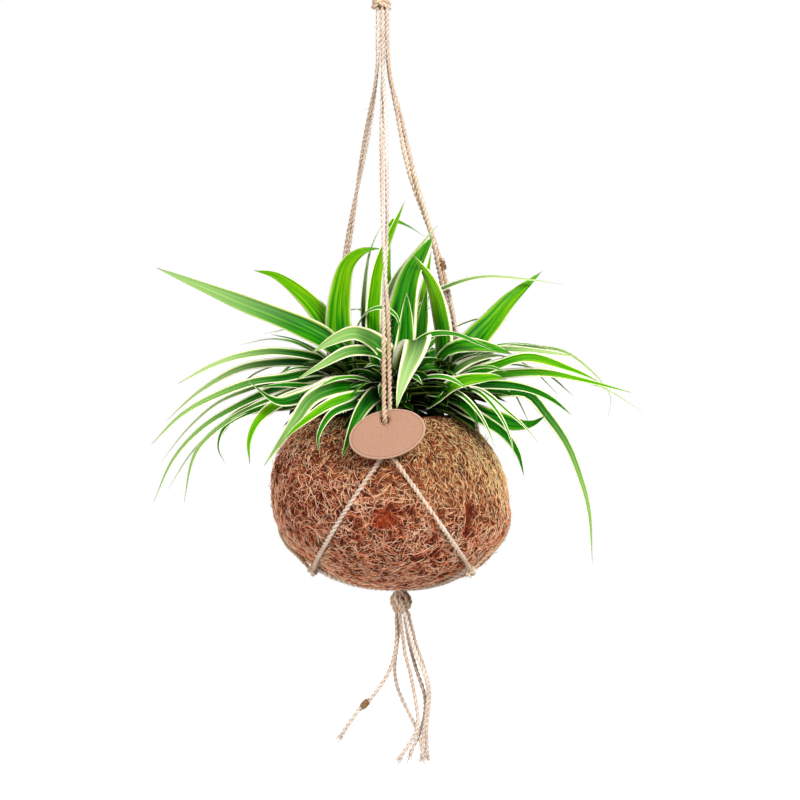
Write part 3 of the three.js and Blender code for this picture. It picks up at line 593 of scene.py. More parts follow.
@dataclass(frozen=True)
class TanCard:
    """Vegetable-tanned tag card: dull pinkish tan with faint flecks and a fine darker line inside its rim."""

    tan: str = "#9C725A"
    light: str = "#AE846A"
    fleck: str = "#835B46"
    line: str = "#5C3C2E"
    rim_tone: str = "#C7A58C"  # lighter towards the rim, all round
    grain_mm: float = 0.7
    bump_mm: float = 0.15
    line_at: float = 0.925  # of the way from the middle to the rim
    line_half: float = 0.007

    def build(self) -> bpy.types.Material:
        """Reads "plate": the share of the way out from the middle to the rim."""
        material, tree, shader = new_material("tan_card")
        place = add(tree, "TexCoord").outputs["Object"]
        plate = add(tree, "Attribute", attribute_name="plate").outputs["Vector"]
        out = add(tree, "SeparateXYZ", {0: plate}).outputs[0]
        grain = {"Vector": place, "Scale": 1 / (self.grain_mm * MM), "Detail": 4.0, "Roughness": 0.65}
        flecks = add(tree, "TexNoise", grain).outputs[0]
        stops = [(0.3, self.fleck), (0.45, self.tan), (0.75, self.light)]
        base = add(tree, "ValToRGB", {0: flecks}, stops=stops).outputs[0]
        off = add(tree, "Math", {0: out, 1: self.line_at}, operation="SUBTRACT").outputs[0]
        off = add(tree, "Math", {0: off}, operation="ABSOLUTE").outputs[0]
        drawn = add(tree, "Math", {0: off, 1: self.line_half}, operation="LESS_THAN").outputs[0]
        inked = add(tree, "Math", {0: drawn, 1: 0.75}, operation="MULTIPLY").outputs[0]
        lined = add(tree, "Mix", {0: inked, 6: base, 7: colour(self.line)}, data_type="RGBA").outputs[2]
        rim = add(tree, "MapRange", {0: out, 1: 0.95, 2: 0.99}).outputs[0]
        rim = add(tree, "Math", {0: rim, 1: 0.6}, operation="MULTIPLY").outputs[0]
        final = add(tree, "Mix", {0: rim, 6: lined, 7: colour(self.rim_tone)}, data_type="RGBA").outputs[2]
        bump = {"Height": flecks, "Strength": 0.35, "Distance": self.bump_mm * MM}
        bump = add(tree, "Bump", bump).outputs[0]
        connect(tree, shader, {"Base Color": final, "Normal": bump, "Roughness": 0.7})
        return material


# Studio


@dataclass
class Studio:
    """A level camera, a white surround, a pale floor and soft lamps."""

    centre: Point = (14.8, 0.0, -400.8)  # where the camera points, mm
    distance: float = 1829.0
    lens: float = 100.0
    sensor: float = 36.0
    floor_z: float = -1500.0
    floor_half: float = 9000.0
    ambient: float = 0.24

    def build(self) -> None:
        """Makes the camera, floor, surround and lamps."""
        self.camera()
        self.floor()
        self.surround()
        self.lamp("key", (900, -1300, 900), 700, 43)
        self.lamp("fill", (-1400, -1100, -100), 1200, 20)
        self.lamp("top", (-200, 200, 1500), 900, 12)
        bpy.context.scene.view_settings.view_transform = "Standard"

    def show(self, name: str, data: bpy.types.ID, place: Point | Array) -> bpy.types.Object:
        """Puts a camera, lamp or mesh into the scene at a place in millimetres."""
        made = bpy.data.objects.new(name, data)
        made.location = np.asarray(place) * MM
        bpy.context.scene.collection.objects.link(made)
        return made

    def camera(self) -> None:
        """A level view along +Y."""
        data = bpy.data.cameras.new("camera")
        data.lens = self.lens
        data.sensor_width = self.sensor
        made = self.show("camera", data, (self.centre[0], -self.distance, self.centre[2]))
        made.rotation_euler = (math.pi / 2, 0, 0)
        bpy.context.scene.camera = made

    def floor(self) -> None:
        """A wide level sheet of matt white card, well under the tails, that glows only to the camera."""
        card, tree, shader = new_material("white_card")
        ray = add(tree, "LightPath").outputs["Is Camera Ray"]
        glow = {"Emission Color": (1, 1, 1, 1), "Emission Strength": ray}
        connect(tree, shader, {"Base Color": colour("#E6E6E6"), "Roughness": 1.0, **glow})
        half = self.floor_half * MM
        corners = [(-half, -half, 0), (half, -half, 0), (half, half, 0), (-half, half, 0)]
        mesh = bpy.data.meshes.new("floor")
        mesh.from_pydata(corners, [], [(0, 1, 2, 3)])
        mesh.materials.append(card)
        self.show("floor", mesh, (0, 0, self.floor_z))

    def surround(self) -> None:
        """White to the camera, and dimmer as a light so that the object keeps its shadows."""
        world = bpy.data.worlds.new("surround")
        world.use_nodes = True
        tree = world.node_tree
        tree.nodes.clear()
        ray = add(tree, "LightPath").outputs["Is Camera Ray"]
        strength = add(tree, "MapRange", {0: ray, 3: self.ambient, 4: 1.0}).outputs[0]
        shade = add(tree, "Background", {"Color": (1, 1, 1, 1), "Strength": strength})
        add(tree, "OutputWorld", {"Surface": shade.outputs[0]})
        bpy.context.scene.world = world

    def lamp(self, name: str, off: Point, size: float, watts: float) -> None:
        """A square soft lamp that stands off the camera's target and faces it, all in millimetres."""
        data = bpy.data.lights.new(name, "AREA")
        data.size = size * MM
        data.energy = watts
        made = self.show(name, data, np.add(self.centre, off))
        made.rotation_euler = Vector(np.negative(off)).to_track_quat("-Z", "Y").to_euler()


# Sizes that the model and this file share, in millimetres

TWINE = 1.8  # radius
PAIR_HALF = 2.1
PLANT = np.array([5.8, 0.0, -405.0])


@dataclass(frozen=True)
class BallShape:
    """A ball taller above its widest line than below, whose axis shifts by lean for each millimetre down.

    Points are measured from its centre and with the lean taken out, so (r / radius)^p + (|z| / tall)^p = 1 on
    it, with a power p above its widest line and another below it.
    """

    x: float = 6.9
    z: float = -483.0
    radius: float = 97.5
    above: float = 88.0
    below: float = 71.5
    power_above: float = 2.0
    power_below: float = 2.15
    lean: float = 0.074

    def shape(self, z: Array) -> tuple[Array, Array]:
        """The half height and the outline's power that hold at a height over the widest line."""
        return np.where(z > 0, self.above, self.below), np.where(z > 0, self.power_above, self.power_below)

    def at(self, z: Array) -> Array:
        """The ball's radius at a height."""
        tall, power = self.shape(z)
        return self.radius * (1 - np.minimum(1, np.abs(z) / tall) ** power) ** (1 / power)

    def slope(self, points: Array) -> Array:
        """The gradient of the ball's formula at points, over its power."""
        tall, power = self.shape(points[..., 2])
        level = (np.hypot(points[..., 0], points[..., 1]) / self.radius) ** (power - 2) / self.radius**2
        upright = (np.abs(points[..., 2]) / tall) ** (power - 2) / tall**2
        return points * np.stack([level, level, upright], -1)

    def onto(self, points: Array) -> Array:
        """Points moved along the gradient onto the surface by a few Newton steps."""
        for _ in range(4):
            power = self.shape(points[..., 2])[1]
            slope = self.slope(points)
            value = np.sum(points * slope, axis=-1) - 1
            points = points - slope * (value / (power * np.sum(slope * slope, axis=-1)))[..., None]
        return points

    def normal(self, points: Array) -> Array:
        """The outward normal at points."""
        return unit(self.slope(points))

    def placed(self, points: Array) -> Array:
        """Points of the ball in the model's frame, with the lean put in."""
        return points + (self.x, 0, self.z) - self.lean * points[..., 2:] * RIGHT

    def side(self, azimuth: Array, z: Array, off: float) -> Array:
        """Points off the ball's side, in the model's frame.

        Args:
            azimuth: directions round the ball in degrees, 0 facing the viewer and 90 along +X.
            z: heights in the model's frame, for the foot of each normal.
            off: how far from the coir.

        Returns:
            One point for each direction.
        """
        height = z - self.z
        r = self.at(height)
        turn = np.radians(azimuth)
        points = np.stack([r * np.sin(turn), -r * np.cos(turn), height], -1)
        return self.placed(points) + off * self.normal(points)

    def under(self, x: Array, y: Array) -> Array:
        """The z of the underside at places in plan, found in a few steps because the axis leans."""
        height = np.full_like(x, -self.below)
        for _ in range(5):
            share = np.minimum(0.99, np.hypot(x - self.x + self.lean * height, y) / self.radius)
            height = -self.below * (1 - share**self.power_below) ** (1 / self.power_below)
        return self.z + height


BALL = BallShape()


# Twine


@dataclass
class TwineMaker:
    """Lays two plies round each other along a line, as one closed tube with a two-lobed section."""

    material: bpy.types.Material
    radius: float = TWINE
    ply: float = 1.16  # radius of one ply; the two plies' middles are radius - ply off the twine's
    pitch: float = 9.0  # one full turn of the plies
    sides: int = 12
    step: float = 1.0
    lines: list[Array] = field(default_factory=list)

    def tube(
        self, line: Array, aside: Array, scale: float | Array = 1.0, seed: int = 0, age: float | Array = 0.0
    ) -> Built:
        """Points, faces and attributes of one length of twine.

        The section at angle a from the plies' line is d|cos a| + sqrt(ply² - d² sin² a), the outline of two
        circles whose middles are d off the twine's own, and it turns once in each pitch.

        Args:
            line: the twine's middle, as points one step apart.
            aside: a direction, or one a point, that is never along the line.
            scale: thickness against the full twine, or a column of one for each point.
            seed: sets the tone and the phase of the plies.
            age: how brown it is, 0 to 1, or a column likewise.

        Returns:
            Vertices, face arrays and attributes.
        """
        rng = np.random.default_rng(seed)
        along = directions(line)
        first = square(aside, along)
        second = np.cross(along, first)
        run = lengths(line)
        turn = around(self.sides)
        apart = self.radius - self.ply
        section = apart * np.abs(np.cos(turn)) + np.sqrt(self.ply**2 - (apart * np.sin(turn)) ** 2)
        section = section * scale * (1 + 0.05 * np.sin(run / 3.1 + phase(rng))[:, None])
        twist = 2 * math.pi * run / self.pitch + 0.6 * np.sin(run / 6.3 + phase(rng)) + phase(rng)
        angle = turn + twist[:, None]
        ring = np.cos(angle)[..., None] * first[:, None] + np.sin(angle)[..., None] * second[:, None]
        rings = line[:, None] + section[..., None] * ring
        fibre = np.broadcast_arrays(np.cos(turn), np.sin(turn), run[:, None] / TWINE)
        fibre = np.stack(fibre, -1) * TWINE
        low = math.sqrt(self.ply**2 - apart**2)
        # depth runs from the groove to a ply's crown and carries the painted shade in the groove
        depth = (section / scale - low) / (self.radius - low)
        tone = np.full_like(depth, rng.uniform(0.3, 0.7)) + 0.3 * np.sin(run / 23 + phase(rng))[:, None]
        strand = np.stack([depth, tone, np.broadcast_to(age, depth.shape)], -1)
        none = np.zeros((2, 3))
        attributes = {"fibre": ended(fibre, none) + rng.random(3) * 40, "strand": ended(strand, none)}
        return ended(rings, line[[0, -1]]), tube_faces(len(line), self.sides), attributes

    def lay(
        self,
        name: str,
        line: Array,
        aside: Array,
        *nodes: str,
        scale: float | Array = 1.1,
        age: float | Array = 0.3,
    ) -> None:
        """One twine as a piece of its own, which stands for its nodes."""
        line = line if isinstance(scale, Array) else resample(line, self.step)
        tube = self.tube(line, aside, scale, sum(map(ord, name)), age)
        add_piece(name, tube, self.material, "jute", *nodes)
        self.lines.append(resample(line, 1.0))

    def join(self, name: str, tubes: list[Built], *nodes: str) -> None:
        """Several tubes as one piece."""
        add_piece(name, joined(tubes), self.material, "jute", *nodes)

    def loose(
        self,
        name: str,
        lines: Array,
        radius: float,
        aside: Array,
        depth: Array,
        tone: Array,
        age: float = 0.0,
    ) -> bpy.types.Object:
        """Loose bast fibres as one piece.

        Args:
            name: the piece's name.
            lines: fibres × points × 3.
            radius: of every fibre.
            aside: one direction a fibre, never along it.
            depth: how far each is from the groove's shade.
            tone: how light each is.
            age: how brown they are.

        Returns:
            The new piece.
        """
        look = np.column_stack([depth, tone, np.full(len(lines), age)])
        vertices, faces, strand = threads(lines, np.full(lines.shape[:2], radius), aside, look)
        built = vertices, faces, {"fibre": vertices, "strand": strand}
        return add_piece(name, built, self.material, "jute")


# Hanger

LOOP_HALF = [(2.1, -59.3), (3.6, -52), (9.5, -38), (14.8, -25), (15.8, -14), (11.2, -2.8)]
LOOP_TOP = 1.8
LOOP_SPACING = 4.0
TOP_KNOT = np.array([-0.6, 0, -70])
BOTTOM_KNOT = np.array([15.6, 0, -567.5])
# The turns of twine in each knot: height over its middle, radius, turns, how tall, tilt and start
TOP_TURNS = [(4.6, 6.0, 2.2, 6.5, 0.3, 0.4), (-4.6, 6.2, 2.2, 7.0, -0.3, 2.4),
             (0.0, 6.9, 1.2, 4.0, 0.8, 4.2), (0.0, 3.0, 4.5, 17.0, 0.0, 1.0)]
BOTTOM_TURNS = [(-0.5, 5.6, 2.4, 6.0, 0.2, 1.0), (0.0, 3.0, 5.0, 15.0, 0.1, 1.0),
                (8.5, 3.6, 2.4, 7.0, 0.0, 1.0)]
FOLD_START = 2.6  # how far off the knot's axis a fold starts
UNTWISTED = 0.16  # the share of a leg over which its two twines run straight
LEG_STEP = 356 / 60  # between the points that a leg twine winds through
LEG_START = (0, 0, 12)  # from its first point up into the top knot

LEGS = {
    "right": (1.25, [(4.4, 0, -81), (4.4, 0, -105), (6.2, 1.2, -132), (14.8, 6.1, -169.5), (19.8, 9.9, -194),
                     (26.4, 13.8, -219), (36.5, 18.5, -249), (44.9, 22.7, -276.5), (54.2, 28.8, -315),
                     (61.1, 33.7, -347), (73, 41.9, -401), (81.6, 48.2, -441)]),
    "left": (1.75, [(-3.6, 0, -81), (-3.6, 0, -105), (-4.2, 1.9, -130), (-22.4, 23.5, -233.7),
                    (-40.6, 45.1, -337.3), (-58.8, 66.7, -441)]),
}
FRONT_LEG = [
    [(0.4, -2.1, -81), (0.4, -2.1, -105), (0.9, -4.6, -130), (2.9, -13.9, -165.4), (4.2, -26.5, -215),
     (4.4, -38.2, -262), (3.2, -48.4, -299.2), (1.9, -59.8, -334.7), (1.9, -65.6, -352), (2.2, -76.2, -385),
     (2.3, -81, -397), (2.5, -87.7, -406), (2.7, -91.3, -412), (2.8, -91.8, -414.7), (2.85, -89.3, -417.2),
     (2.9, -86.7, -419.6), (2.9, -86.8, -422.7), (3, -88.2, -429.5), (3.2, -90.1, -435.6)],
    [(0.4, 2.1, -81), (0.4, 2.1, -105), (0.9, -0.4, -130), (-0.1, -11.1, -164.6), (0, -26.5, -215),
     (1.1, -41.4, -262), (3.2, -53, -300.8), (5.5, -61.8, -335.3), (6, -65.6, -352), (6.5, -75.2, -385),
     (6.9, -82.6, -410), (7.3, -91.5, -441)],
]
FRONT_KNOT = (5.2, -91.5, -441)
BURRS = [("burr_on_leg", (50.0, 24.8, -288.0), (0.26, 0.15, -0.95)),
         ("burr_on_tail", (-13.8, -7.0, -650.0), (-0.75, 0.0, -0.66))]
LEG_HALF = {"right": 1.9, "left": 1.45}  # half the distance between a leg's twines
# Heights, the thickness there against the full twine, and how brown it is
LEG_LOOK = {
    "front": ((-360, -310, -250, -220), (1.1, 0.9, 0.9, 1.05), (0.6, 0.1, 0.0, 0.0)),
    "right": ((-441, -350, -310, -220, -180), (1.05, 1.1, 1.28, 1.28, 1.1), (0.4, 0.4, 0.45, 0.45, 0.3)),
    "left": ((-441, -81), (0.9, 0.9), (0.25, 0.25)),
}
# Front net twines: how far aside of their knot they start, and how far they bulge
FRONT_NET = [("right", 2.2, 1.0), ("left", -2.2, -3.0)]
NET_AGE = {"left": 0.05, "right": 0.4}  # the left one is paler in the photo
# The other net twines: the knots at their ends, and the directions there in degrees
SIDE_NET = [("right", "right", 119.4, 57.5), ("right", "back", 124.2, 180), ("left", "back", 220.9, 180),
            ("left", "left", 225.6, 293)]
LOWER = {"right": 57.5, "back": 180, "left": 293}
NET_TOP = -444.0
LOWER_Z = -535.5
LOWER_OFF = 5.0  # how far the lower knots stand off the coir
LIE = 1.3

TAILS = [
    [(12, 0, -575), (12.1, 0, -583), (12.2, -0.5, -591.5), (11.8, -1, -599.5), (10.9, -1.5, -607.5),
     (9.1, -2, -615), (6.3, -3, -622.5), (3, -4, -629), (-1, -5, -635), (-5.4, -6, -641),
     (-9.8, -6.5, -646.5), (-14.4, -7, -650.5), (-19, -7, -655), (-23.5, -7, -661), (-28, -6.5, -667.5),
     (-33.7, -6, -676.5)],
    [(14.3, 4, -575), (14.2, 4.2, -583), (13.6, 4.6, -591.5), (12.6, 5, -600), (11.6, 5.5, -608),
     (10.6, 6, -616), (10.3, 6.5, -624), (11.2, 7, -632), (13, 7.5, -639.5), (15.6, 8, -646), (18.4, 8, -652),
     (21.4, 8, -658), (24.6, 7.6, -664.5), (27.8, 7.3, -671), (30.8, 7.1, -680), (33.8, 7, -690)],
    [(14.3, -4, -575), (15.2, -4.2, -583), (16.6, -4.5, -592), (17.8, -5, -600.5), (19, -5.5, -608.5),
     (20.8, -6, -616), (22.8, -6.5, -623), (24.6, -7, -631), (26.2, -7.5, -639), (27.6, -8, -647),
     (28.8, -8.5, -655), (29.4, -9, -663), (28.4, -9.5, -671), (25.2, -10, -678), (20.6, -10.5, -685),
     (14.4, -11, -694)],
    [(18.9, 4, -575), (19.4, 3.6, -583), (20.8, 2.8, -592), (22.4, 2, -600.5), (24.2, 1.2, -608.5),
     (26.4, 0.5, -616.5), (28.8, 0, -624.5), (31.6, -0.5, -632.5), (34.2, -1, -640.5), (35.6, -1.5, -648.5),
     (35.4, -2, -656.5), (33.8, -2.5, -664.5), (31.6, -3, -672), (28.8, -3.5, -679), (26, -4, -685.5),
     (23, -4.5, -692)],
    [(18.9, -4, -575), (20.8, -3.8, -583), (22.8, -3.8, -591.5), (24.8, -4, -599.5), (27.2, -4.2, -607),
     (30.2, -4.4, -614.5), (33.4, -4.8, -621.5), (36, -5.2, -629), (37.6, -5.6, -637), (37.8, -6, -645),
     (36.8, -6.6, -653), (35.6, -7.2, -661), (34.6, -8, -669), (33.8, -8.8, -677), (33.2, -9.4, -685),
     (32.9, -10, -693.5)],
    [(21.2, 0, -575), (23, 0.6, -583), (25.2, 1.4, -591), (27.4, 2.2, -600), (30, 3.2, -608), (32.8, 4, -616),
     (35.4, 4.6, -624), (37.6, 5, -632), (39, 5.2, -640), (39.2, 5.2, -648), (38.4, 5, -656),
     (37.4, 4.6, -664), (36.8, 4.2, -672), (36.8, 3.6, -680), (37, 3, -688), (37.2, 2.6, -694.5)],
]


@dataclass
class Hanger:
    """The knotted jute hanger: loop, top knot, three doubled legs, net, knots and six loose tails."""

    twine: TwineMaker
    fuzz: float = 2.0  # hairs on each millimetre of twine
    frayed: int = 46  # loose fibres at the end of each tail
    tuft: int = 110  # loose fibres in each burr

    def tails(self) -> None:
        """Six free cords that hang from the bottom knot, each frayed at its end."""
        for i, route in enumerate(TAILS):
            line = resample(smooth(route, 0.3), self.twine.step)
            tube = self.twine.tube(line, BACK, 1.0, 31 + i, 0.05)
            made = add_piece(f"tail_twine_{i + 1}", tube, self.twine.material, "jute", f"tail_{i + 1}")
            frayed = self.fray(f"tail_fray_{i + 1}", line, 50 + i)
            self.twine.lines.append(resample(line, 1.0))

    def fray(self, name: str, line: Array, seed: int) -> bpy.types.Object:
        """Loose bast fibres that spread from the last few millimetres of a tail."""
        rng = np.random.default_rng(seed)
        count = self.frayed
        along = directions(line)[-1]
        root = line[-1] - along * rng.uniform(1, 5, (count, 1)) + rng.normal(0, 0.55, (count, 3))
        way = unit(along + rng.normal(0, 0.32, (count, 3)))
        bend = rng.normal(0, 0.5, (count, 3))
        reach = rng.uniform(3, 8.5, (count, 1))
        lines = bent(root, way, 0.3 * bend, reach, 6)
        aside = unit(rng.normal(0, 1, (count, 3)))
        depth, tone = rng.uniform(0.5, 1, count), rng.uniform(0.2, 0.9, count)
        return self.twine.loose(name, lines, 0.17, aside, depth, tone)

    def loop(self) -> None:
        """Three folded twines side by side, whose ends run down into the top knot."""
        for i in range(3):
            y = (i - 1) * LOOP_SPACING
            half = [(0.9 + i * 0.4, y * 0.5, -72), *((x, y, z) for x, z in LOOP_HALF)]
            route = [(-x, q, z) for x, q, z in half] + [(0, y, LOOP_TOP)] + half[::-1]
            self.twine.lay(f"hanging_loop_{i + 1}", smooth(route, 0.3), BACK, f"loop_twine_{i + 1}")

    def leg_strand(self, name: str, strand: int) -> Array:
        """One of the two twines of a side leg, wound about the leg's middle."""
        turns, middle = LEGS[name]
        line = resample(smooth(middle, 0.3), LEG_STEP)
        along = directions(line)
        across = square(RIGHT, along)
        behind = np.cross(along, across)
        u = np.linspace(0, 1, len(line))
        twist = np.maximum(0, (u - UNTWISTED) / (1 - UNTWISTED))
        angle = (math.pi * (0.5 + strand) + 2 * math.pi * turns * twist)[:, None]
        return line + LEG_HALF[name] * (np.cos(angle) * across + np.sin(angle) * behind)

    def legs(self) -> None:
        """Three pairs of twines from the top knot to the shoulder knots, one through the tag's hole."""
        for name in ("front", *LEGS):
            heights, thick, brown = LEG_LOOK[name]
            for strand in (0, 1):
                below = self.leg_strand(name, strand) if name in LEGS else np.array(FRONT_LEG[strand])
                route = np.vstack([below[0] + LEG_START, below])
                line = resample(smooth(route, 0.5), self.twine.step)
                scale = np.interp(line[:, 2], heights, thick)[:, None]
                age = np.interp(line[:, 2], heights, brown)[:, None]
                piece, node = f"{name}_leg_{strand + 1}", f"leg_twine_{name}_{strand + 1}"
                self.twine.lay(piece, line, RIGHT, node, scale=scale, age=age)

    def knot_place(self, name: str, lower: bool) -> Array:
        """The middle of a shoulder knot, or of a lower knot on the coir."""
        if lower:
            return BALL.side(np.array(float(LOWER[name])), np.array(LOWER_Z), LOWER_OFF)
        return np.array(FRONT_KNOT if name == "front" else LEGS[name][1][-1], float)

    def net_routes(self) -> list[Array]:
        """The six net twines, from a shoulder knot down the ball to a lower knot.

        Seen from the front, the first two run nearly straight: x goes evenly from knot to knot, plus a bulge
        of 4t(1 - t), and the direction is the arcsine of x over the ball's radius. The others turn as t^1.6.
        """
        down = np.linspace(0, 1, 13)
        z = NET_TOP + (LOWER_Z - NET_TOP) * down
        routes = []
        for name, aside, bulge in FRONT_NET:
            start, end = self.knot_place("front", False), self.knot_place(name, True)
            x = start[0] + aside + (end[0] - start[0] - aside) * down + 4 * bulge * down * (1 - down)
            height = z - BALL.z
            turn = np.degrees(np.arcsin((x - BALL.x + BALL.lean * height) / (BALL.at(height) + LIE)))
            routes.append(np.vstack([start, BALL.side(turn, z, LIE)[1:-1], end]))
        for first, last, start_turn, end_turn in SIDE_NET:
            start, end = self.knot_place(first, False), self.knot_place(last, True)
            route = BALL.side(start_turn + (end_turn - start_turn) * down**1.6, z, LIE)
            routes.append(np.vstack([start, route[1:-1], end]))
        return routes

    def net(self) -> None:
        """Six twines that slant down the ball, each from well inside its knots."""
        looks = [(1.1, NET_AGE[name]) for name, _, _ in FRONT_NET] + [(1.0, 0.8)] * len(SIDE_NET)
        for i, (route, (scale, age)) in enumerate(zip(self.net_routes(), looks), 1):
            line = resample(smooth(route, 0.5), self.twine.step)
            aside = unit(line - (BALL.x, 0, BALL.z))
            self.twine.lay(f"net_{i}", line, aside, f"net_twine_{i}", scale=scale, age=age)

    def under(self) -> None:
        """Two twines from each lower knot along the underside to the bottom knot."""
        goal = BOTTOM_KNOT[:2]
        share = np.linspace(0, 1, 12)[:, None]
        for name in LOWER:
            start = self.knot_place(name, True)[:2]
            inward = unit(goal - start)
            for k, side in enumerate((-1, 1)):
                off = np.array([-inward[1], inward[0]]) * side * PAIR_HALF
                plan = (start + off) * (1 - share) + (goal - inward * 4 + off) * share
                route = np.column_stack([plan, BALL.under(plan[:, 0], plan[:, 1]) - LIE])
                route = np.vstack([route, route[-1] + (inward[0] * 2.5, inward[1] * 2.5, -4)])
                self.twine.lay(f"under_{name}_{k + 1}", smooth(route, 0.5), UP, f"under_twine_{name}_{k + 1}")

    def small_knots(self) -> None:
        """Overhand knots: a trefoil line (sin t + 2 sin 2t, cos t - 2 cos 2t, -1.5 sin 3t) off the coir."""
        t = np.linspace(0, 2 * math.pi, 90, endpoint=False)
        x, y = np.sin(t) + 2 * np.sin(2 * t), np.cos(t) - 2 * np.cos(2 * t)
        trefoil = np.column_stack([x, y, -1.5 * np.sin(3 * t)])
        places = [(f"shoulder_knot_{n}", self.knot_place(n, False)) for n in ("front", *LEGS)]
        places += [(f"lower_knot_{n}", self.knot_place(n, True)) for n in LOWER]
        for i, (node, place) in enumerate(places):
            out = unit(place - (BALL.x, 0, BALL.z))
            first = unit(np.cross(out, UP))
            second = np.cross(out, first)
            tied = (trefoil[:, :1] * first + trefoil[:, 1:2] * second * 1.1 + trefoil[:, 2:] * out) * 1.1
            line = place + np.roll(tied, 13 * i, axis=0)
            line = resample(np.vstack([line, line[:3]]), 0.6)
            tube = self.twine.tube(line, line - place + out * 0.3, 0.98, 70 + i, 0.45)
            self.twine.join(f"tied_{node}", [tube], node)

    def winding(
        self, centre: Array, radius: float, turns: float, height: float, tilt: float, start: float
    ) -> Array:
        """A helix round the Z axis that leans by tilt, as a line of close points."""
        t = np.linspace(0, 1, int(90 * turns))
        angle = 2 * math.pi * turns * t + start
        wave = 1 + 0.07 * np.sin(3.1 * angle)
        x, y = radius * wave * np.cos(angle), radius * wave * np.sin(angle)
        z = height * (0.5 - t) + math.tan(tilt) * x
        return resample(centre + np.column_stack([x, y, z]), 0.7)

    def folds(self, centre: Array, radius: float, tall: float, count: int, twist: float) -> list[Array]:
        """Twines folded down over a knot, side by side, each bulging out by the sine of its way down."""
        t = np.linspace(0, 1, 30)
        lines = []
        for k in range(count):
            angle = 2 * math.pi * k / count + twist * (t - 0.5) + 0.12 * math.sin(5.3 * k)
            bulge = radius * (0.93 + 0.07 * math.cos(3.7 * k))
            out = FOLD_START + (bulge - FOLD_START) * np.sin(math.pi * t**0.8) ** 0.7
            z = tall * (0.5 - t) + 0.8 * math.sin(2.9 * k)
            fold = np.column_stack([out * np.cos(angle), out * np.sin(angle), z])
            lines.append(resample(centre + fold, 0.8))
        return lines

    def gathering_knots(self) -> None:
        """The top and bottom knots: crossing turns of twine round a core of the twines that run through."""
        bottom = self.folds(BOTTOM_KNOT, 7.4, 15.0, 10, 0.9)
        for node, centre, folds, turns in (
            ("top_knot", TOP_KNOT, [], TOP_TURNS), ("bottom_knot", BOTTOM_KNOT, bottom, BOTTOM_TURNS)
        ):
            lines = folds + [self.winding(centre + (0, 0, up), *turn) for up, *turn in turns]
            tubes = []
            for k, line in enumerate(lines):
                tubes.append(self.twine.tube(line, line - centre + UP * 2, 1.12, 90 + k, 0.5))
            self.twine.join(f"tied_{node}", tubes, node)

    def burrs(self) -> None:
        """Two tufts where loose bast has balled up round a twine, on the right leg and on the first tail."""
        rng = np.random.default_rng(71)
        count = self.tuft
        t = np.linspace(-1, 1, 6)[None, :, None]
        for name, centre, along in BURRS:
            way = unit(np.array(along))
            spread = rng.normal(0, 1, (count, 3))
            out = unit(spread - way * (spread @ way)[:, None])
            bulge = rng.uniform(1.7, 3.3, (count, 1, 1)) * (1 - 0.35 * t * t)
            slide = way * (rng.normal(0, 1.9, (count, 1, 1)) + rng.uniform(0.5, 3, (count, 1, 1)) * t)
            bow = np.cos(1.1 * t) * out[:, None] + np.sin(1.1 * t) * np.cross(way, out)[:, None]
            lines = np.array(centre) + slide + bulge * bow
            depth, tone = rng.uniform(0, 0.6, count), rng.uniform(0, 0.5, count)
            self.twine.loose(name, lines, 0.24, way + 0.3 * out, depth, tone, 1.0)

    def hairs(self) -> None:
        """Short loose fibres that stand off every twine."""
        rng = np.random.default_rng(404)
        points = np.concatenate(self.twine.lines)
        count = int(len(points) * self.fuzz)
        pick = rng.integers(0, len(points), count)
        along = np.concatenate([directions(line) for line in self.twine.lines])[pick]
        out = square(rng.normal(0, 1, (count, 3)), along)
        way = unit(out * rng.uniform(0.3, 1, (count, 1)) + along * rng.normal(0, 0.9, (count, 1)))
        reach = rng.gamma(2.0, 0.8, (count, 1)).clip(0.6, 5.5)
        bend = rng.normal(0, 0.45, (count, 3))
        lines = bent(points[pick] + out * 1.1, way, bend, reach, 4)
        aside = unit(rng.normal(0, 1, (count, 3)))
        depth, tone = rng.uniform(0.6, 1.2, count), rng.uniform(0.3, 1, count)
        self.twine.loose("twine_hairs", lines, 0.055, aside, depth, tone)


# Coir ball


@dataclass(frozen=True)
class Patch:
    """A stain, a dent or a darker spot on the ball, placed over its centre in degrees and millimetres."""

    azimuth: float
    z: float
    half_wide: float
    half_tall: float
    red: float = 0.0
    # dark darkens the fibres: in the dents and in the last two patches it is painted shade
    dark: float = 0.0
    dent: float = 0.0

    def weight(self, points: Array) -> Array:
        """1 at the patch's middle, falling to 0 past its edge, by exp(-d⁴) of the scaled distance."""
        turn = np.degrees(np.arctan2(points[..., 0], -points[..., 1]))
        wide = np.radians((turn - self.azimuth + 180) % 360 - 180) * BALL.radius / self.half_wide
        tall = (points[..., 2] - self.z) / self.half_tall
        return np.exp(-((wide**2 + tall**2) ** 2))


PATCHES = [
    Patch(-4.0, -11.5, 10.0, 8.0, red=1.0),
    Patch(0.5, -2.0, 4.5, 4.0, dark=0.9, dent=1.0),
    Patch(39.0, -14.0, 3.4, 17.0, red=0.4, dark=1.3, dent=2.5),
    Patch(-34.0, 4.0, 12.0, 8.0, dark=0.25),
    Patch(23.0, -40.0, 9.0, 6.0, dark=0.4),
    Patch(118.0, -20.0, 6.0, 12.0, red=0.5, dark=0.3, dent=1.0),
    Patch(196.0, 8.0, 11.0, 8.0, red=0.7),
    Patch(251.0, -24.0, 3.0, 16.0, dark=0.7, dent=2.0),
    # Painted shade over the middle and right of the front, where the key lamp falls
    Patch(0.0, -14.0, 24.0, 13.0, dark=0.12),
    Patch(50.0, -10.0, 20.0, 18.0, dark=0.15),
]


@dataclass(frozen=True)
class Pile:
    """One layer of coir fibres: their number, points, ranges of length and radius, curl and lift."""

    fibres: int
    steps: int
    length: tuple[float, float]
    radius: tuple[float, float]
    curl: float
    lift: float


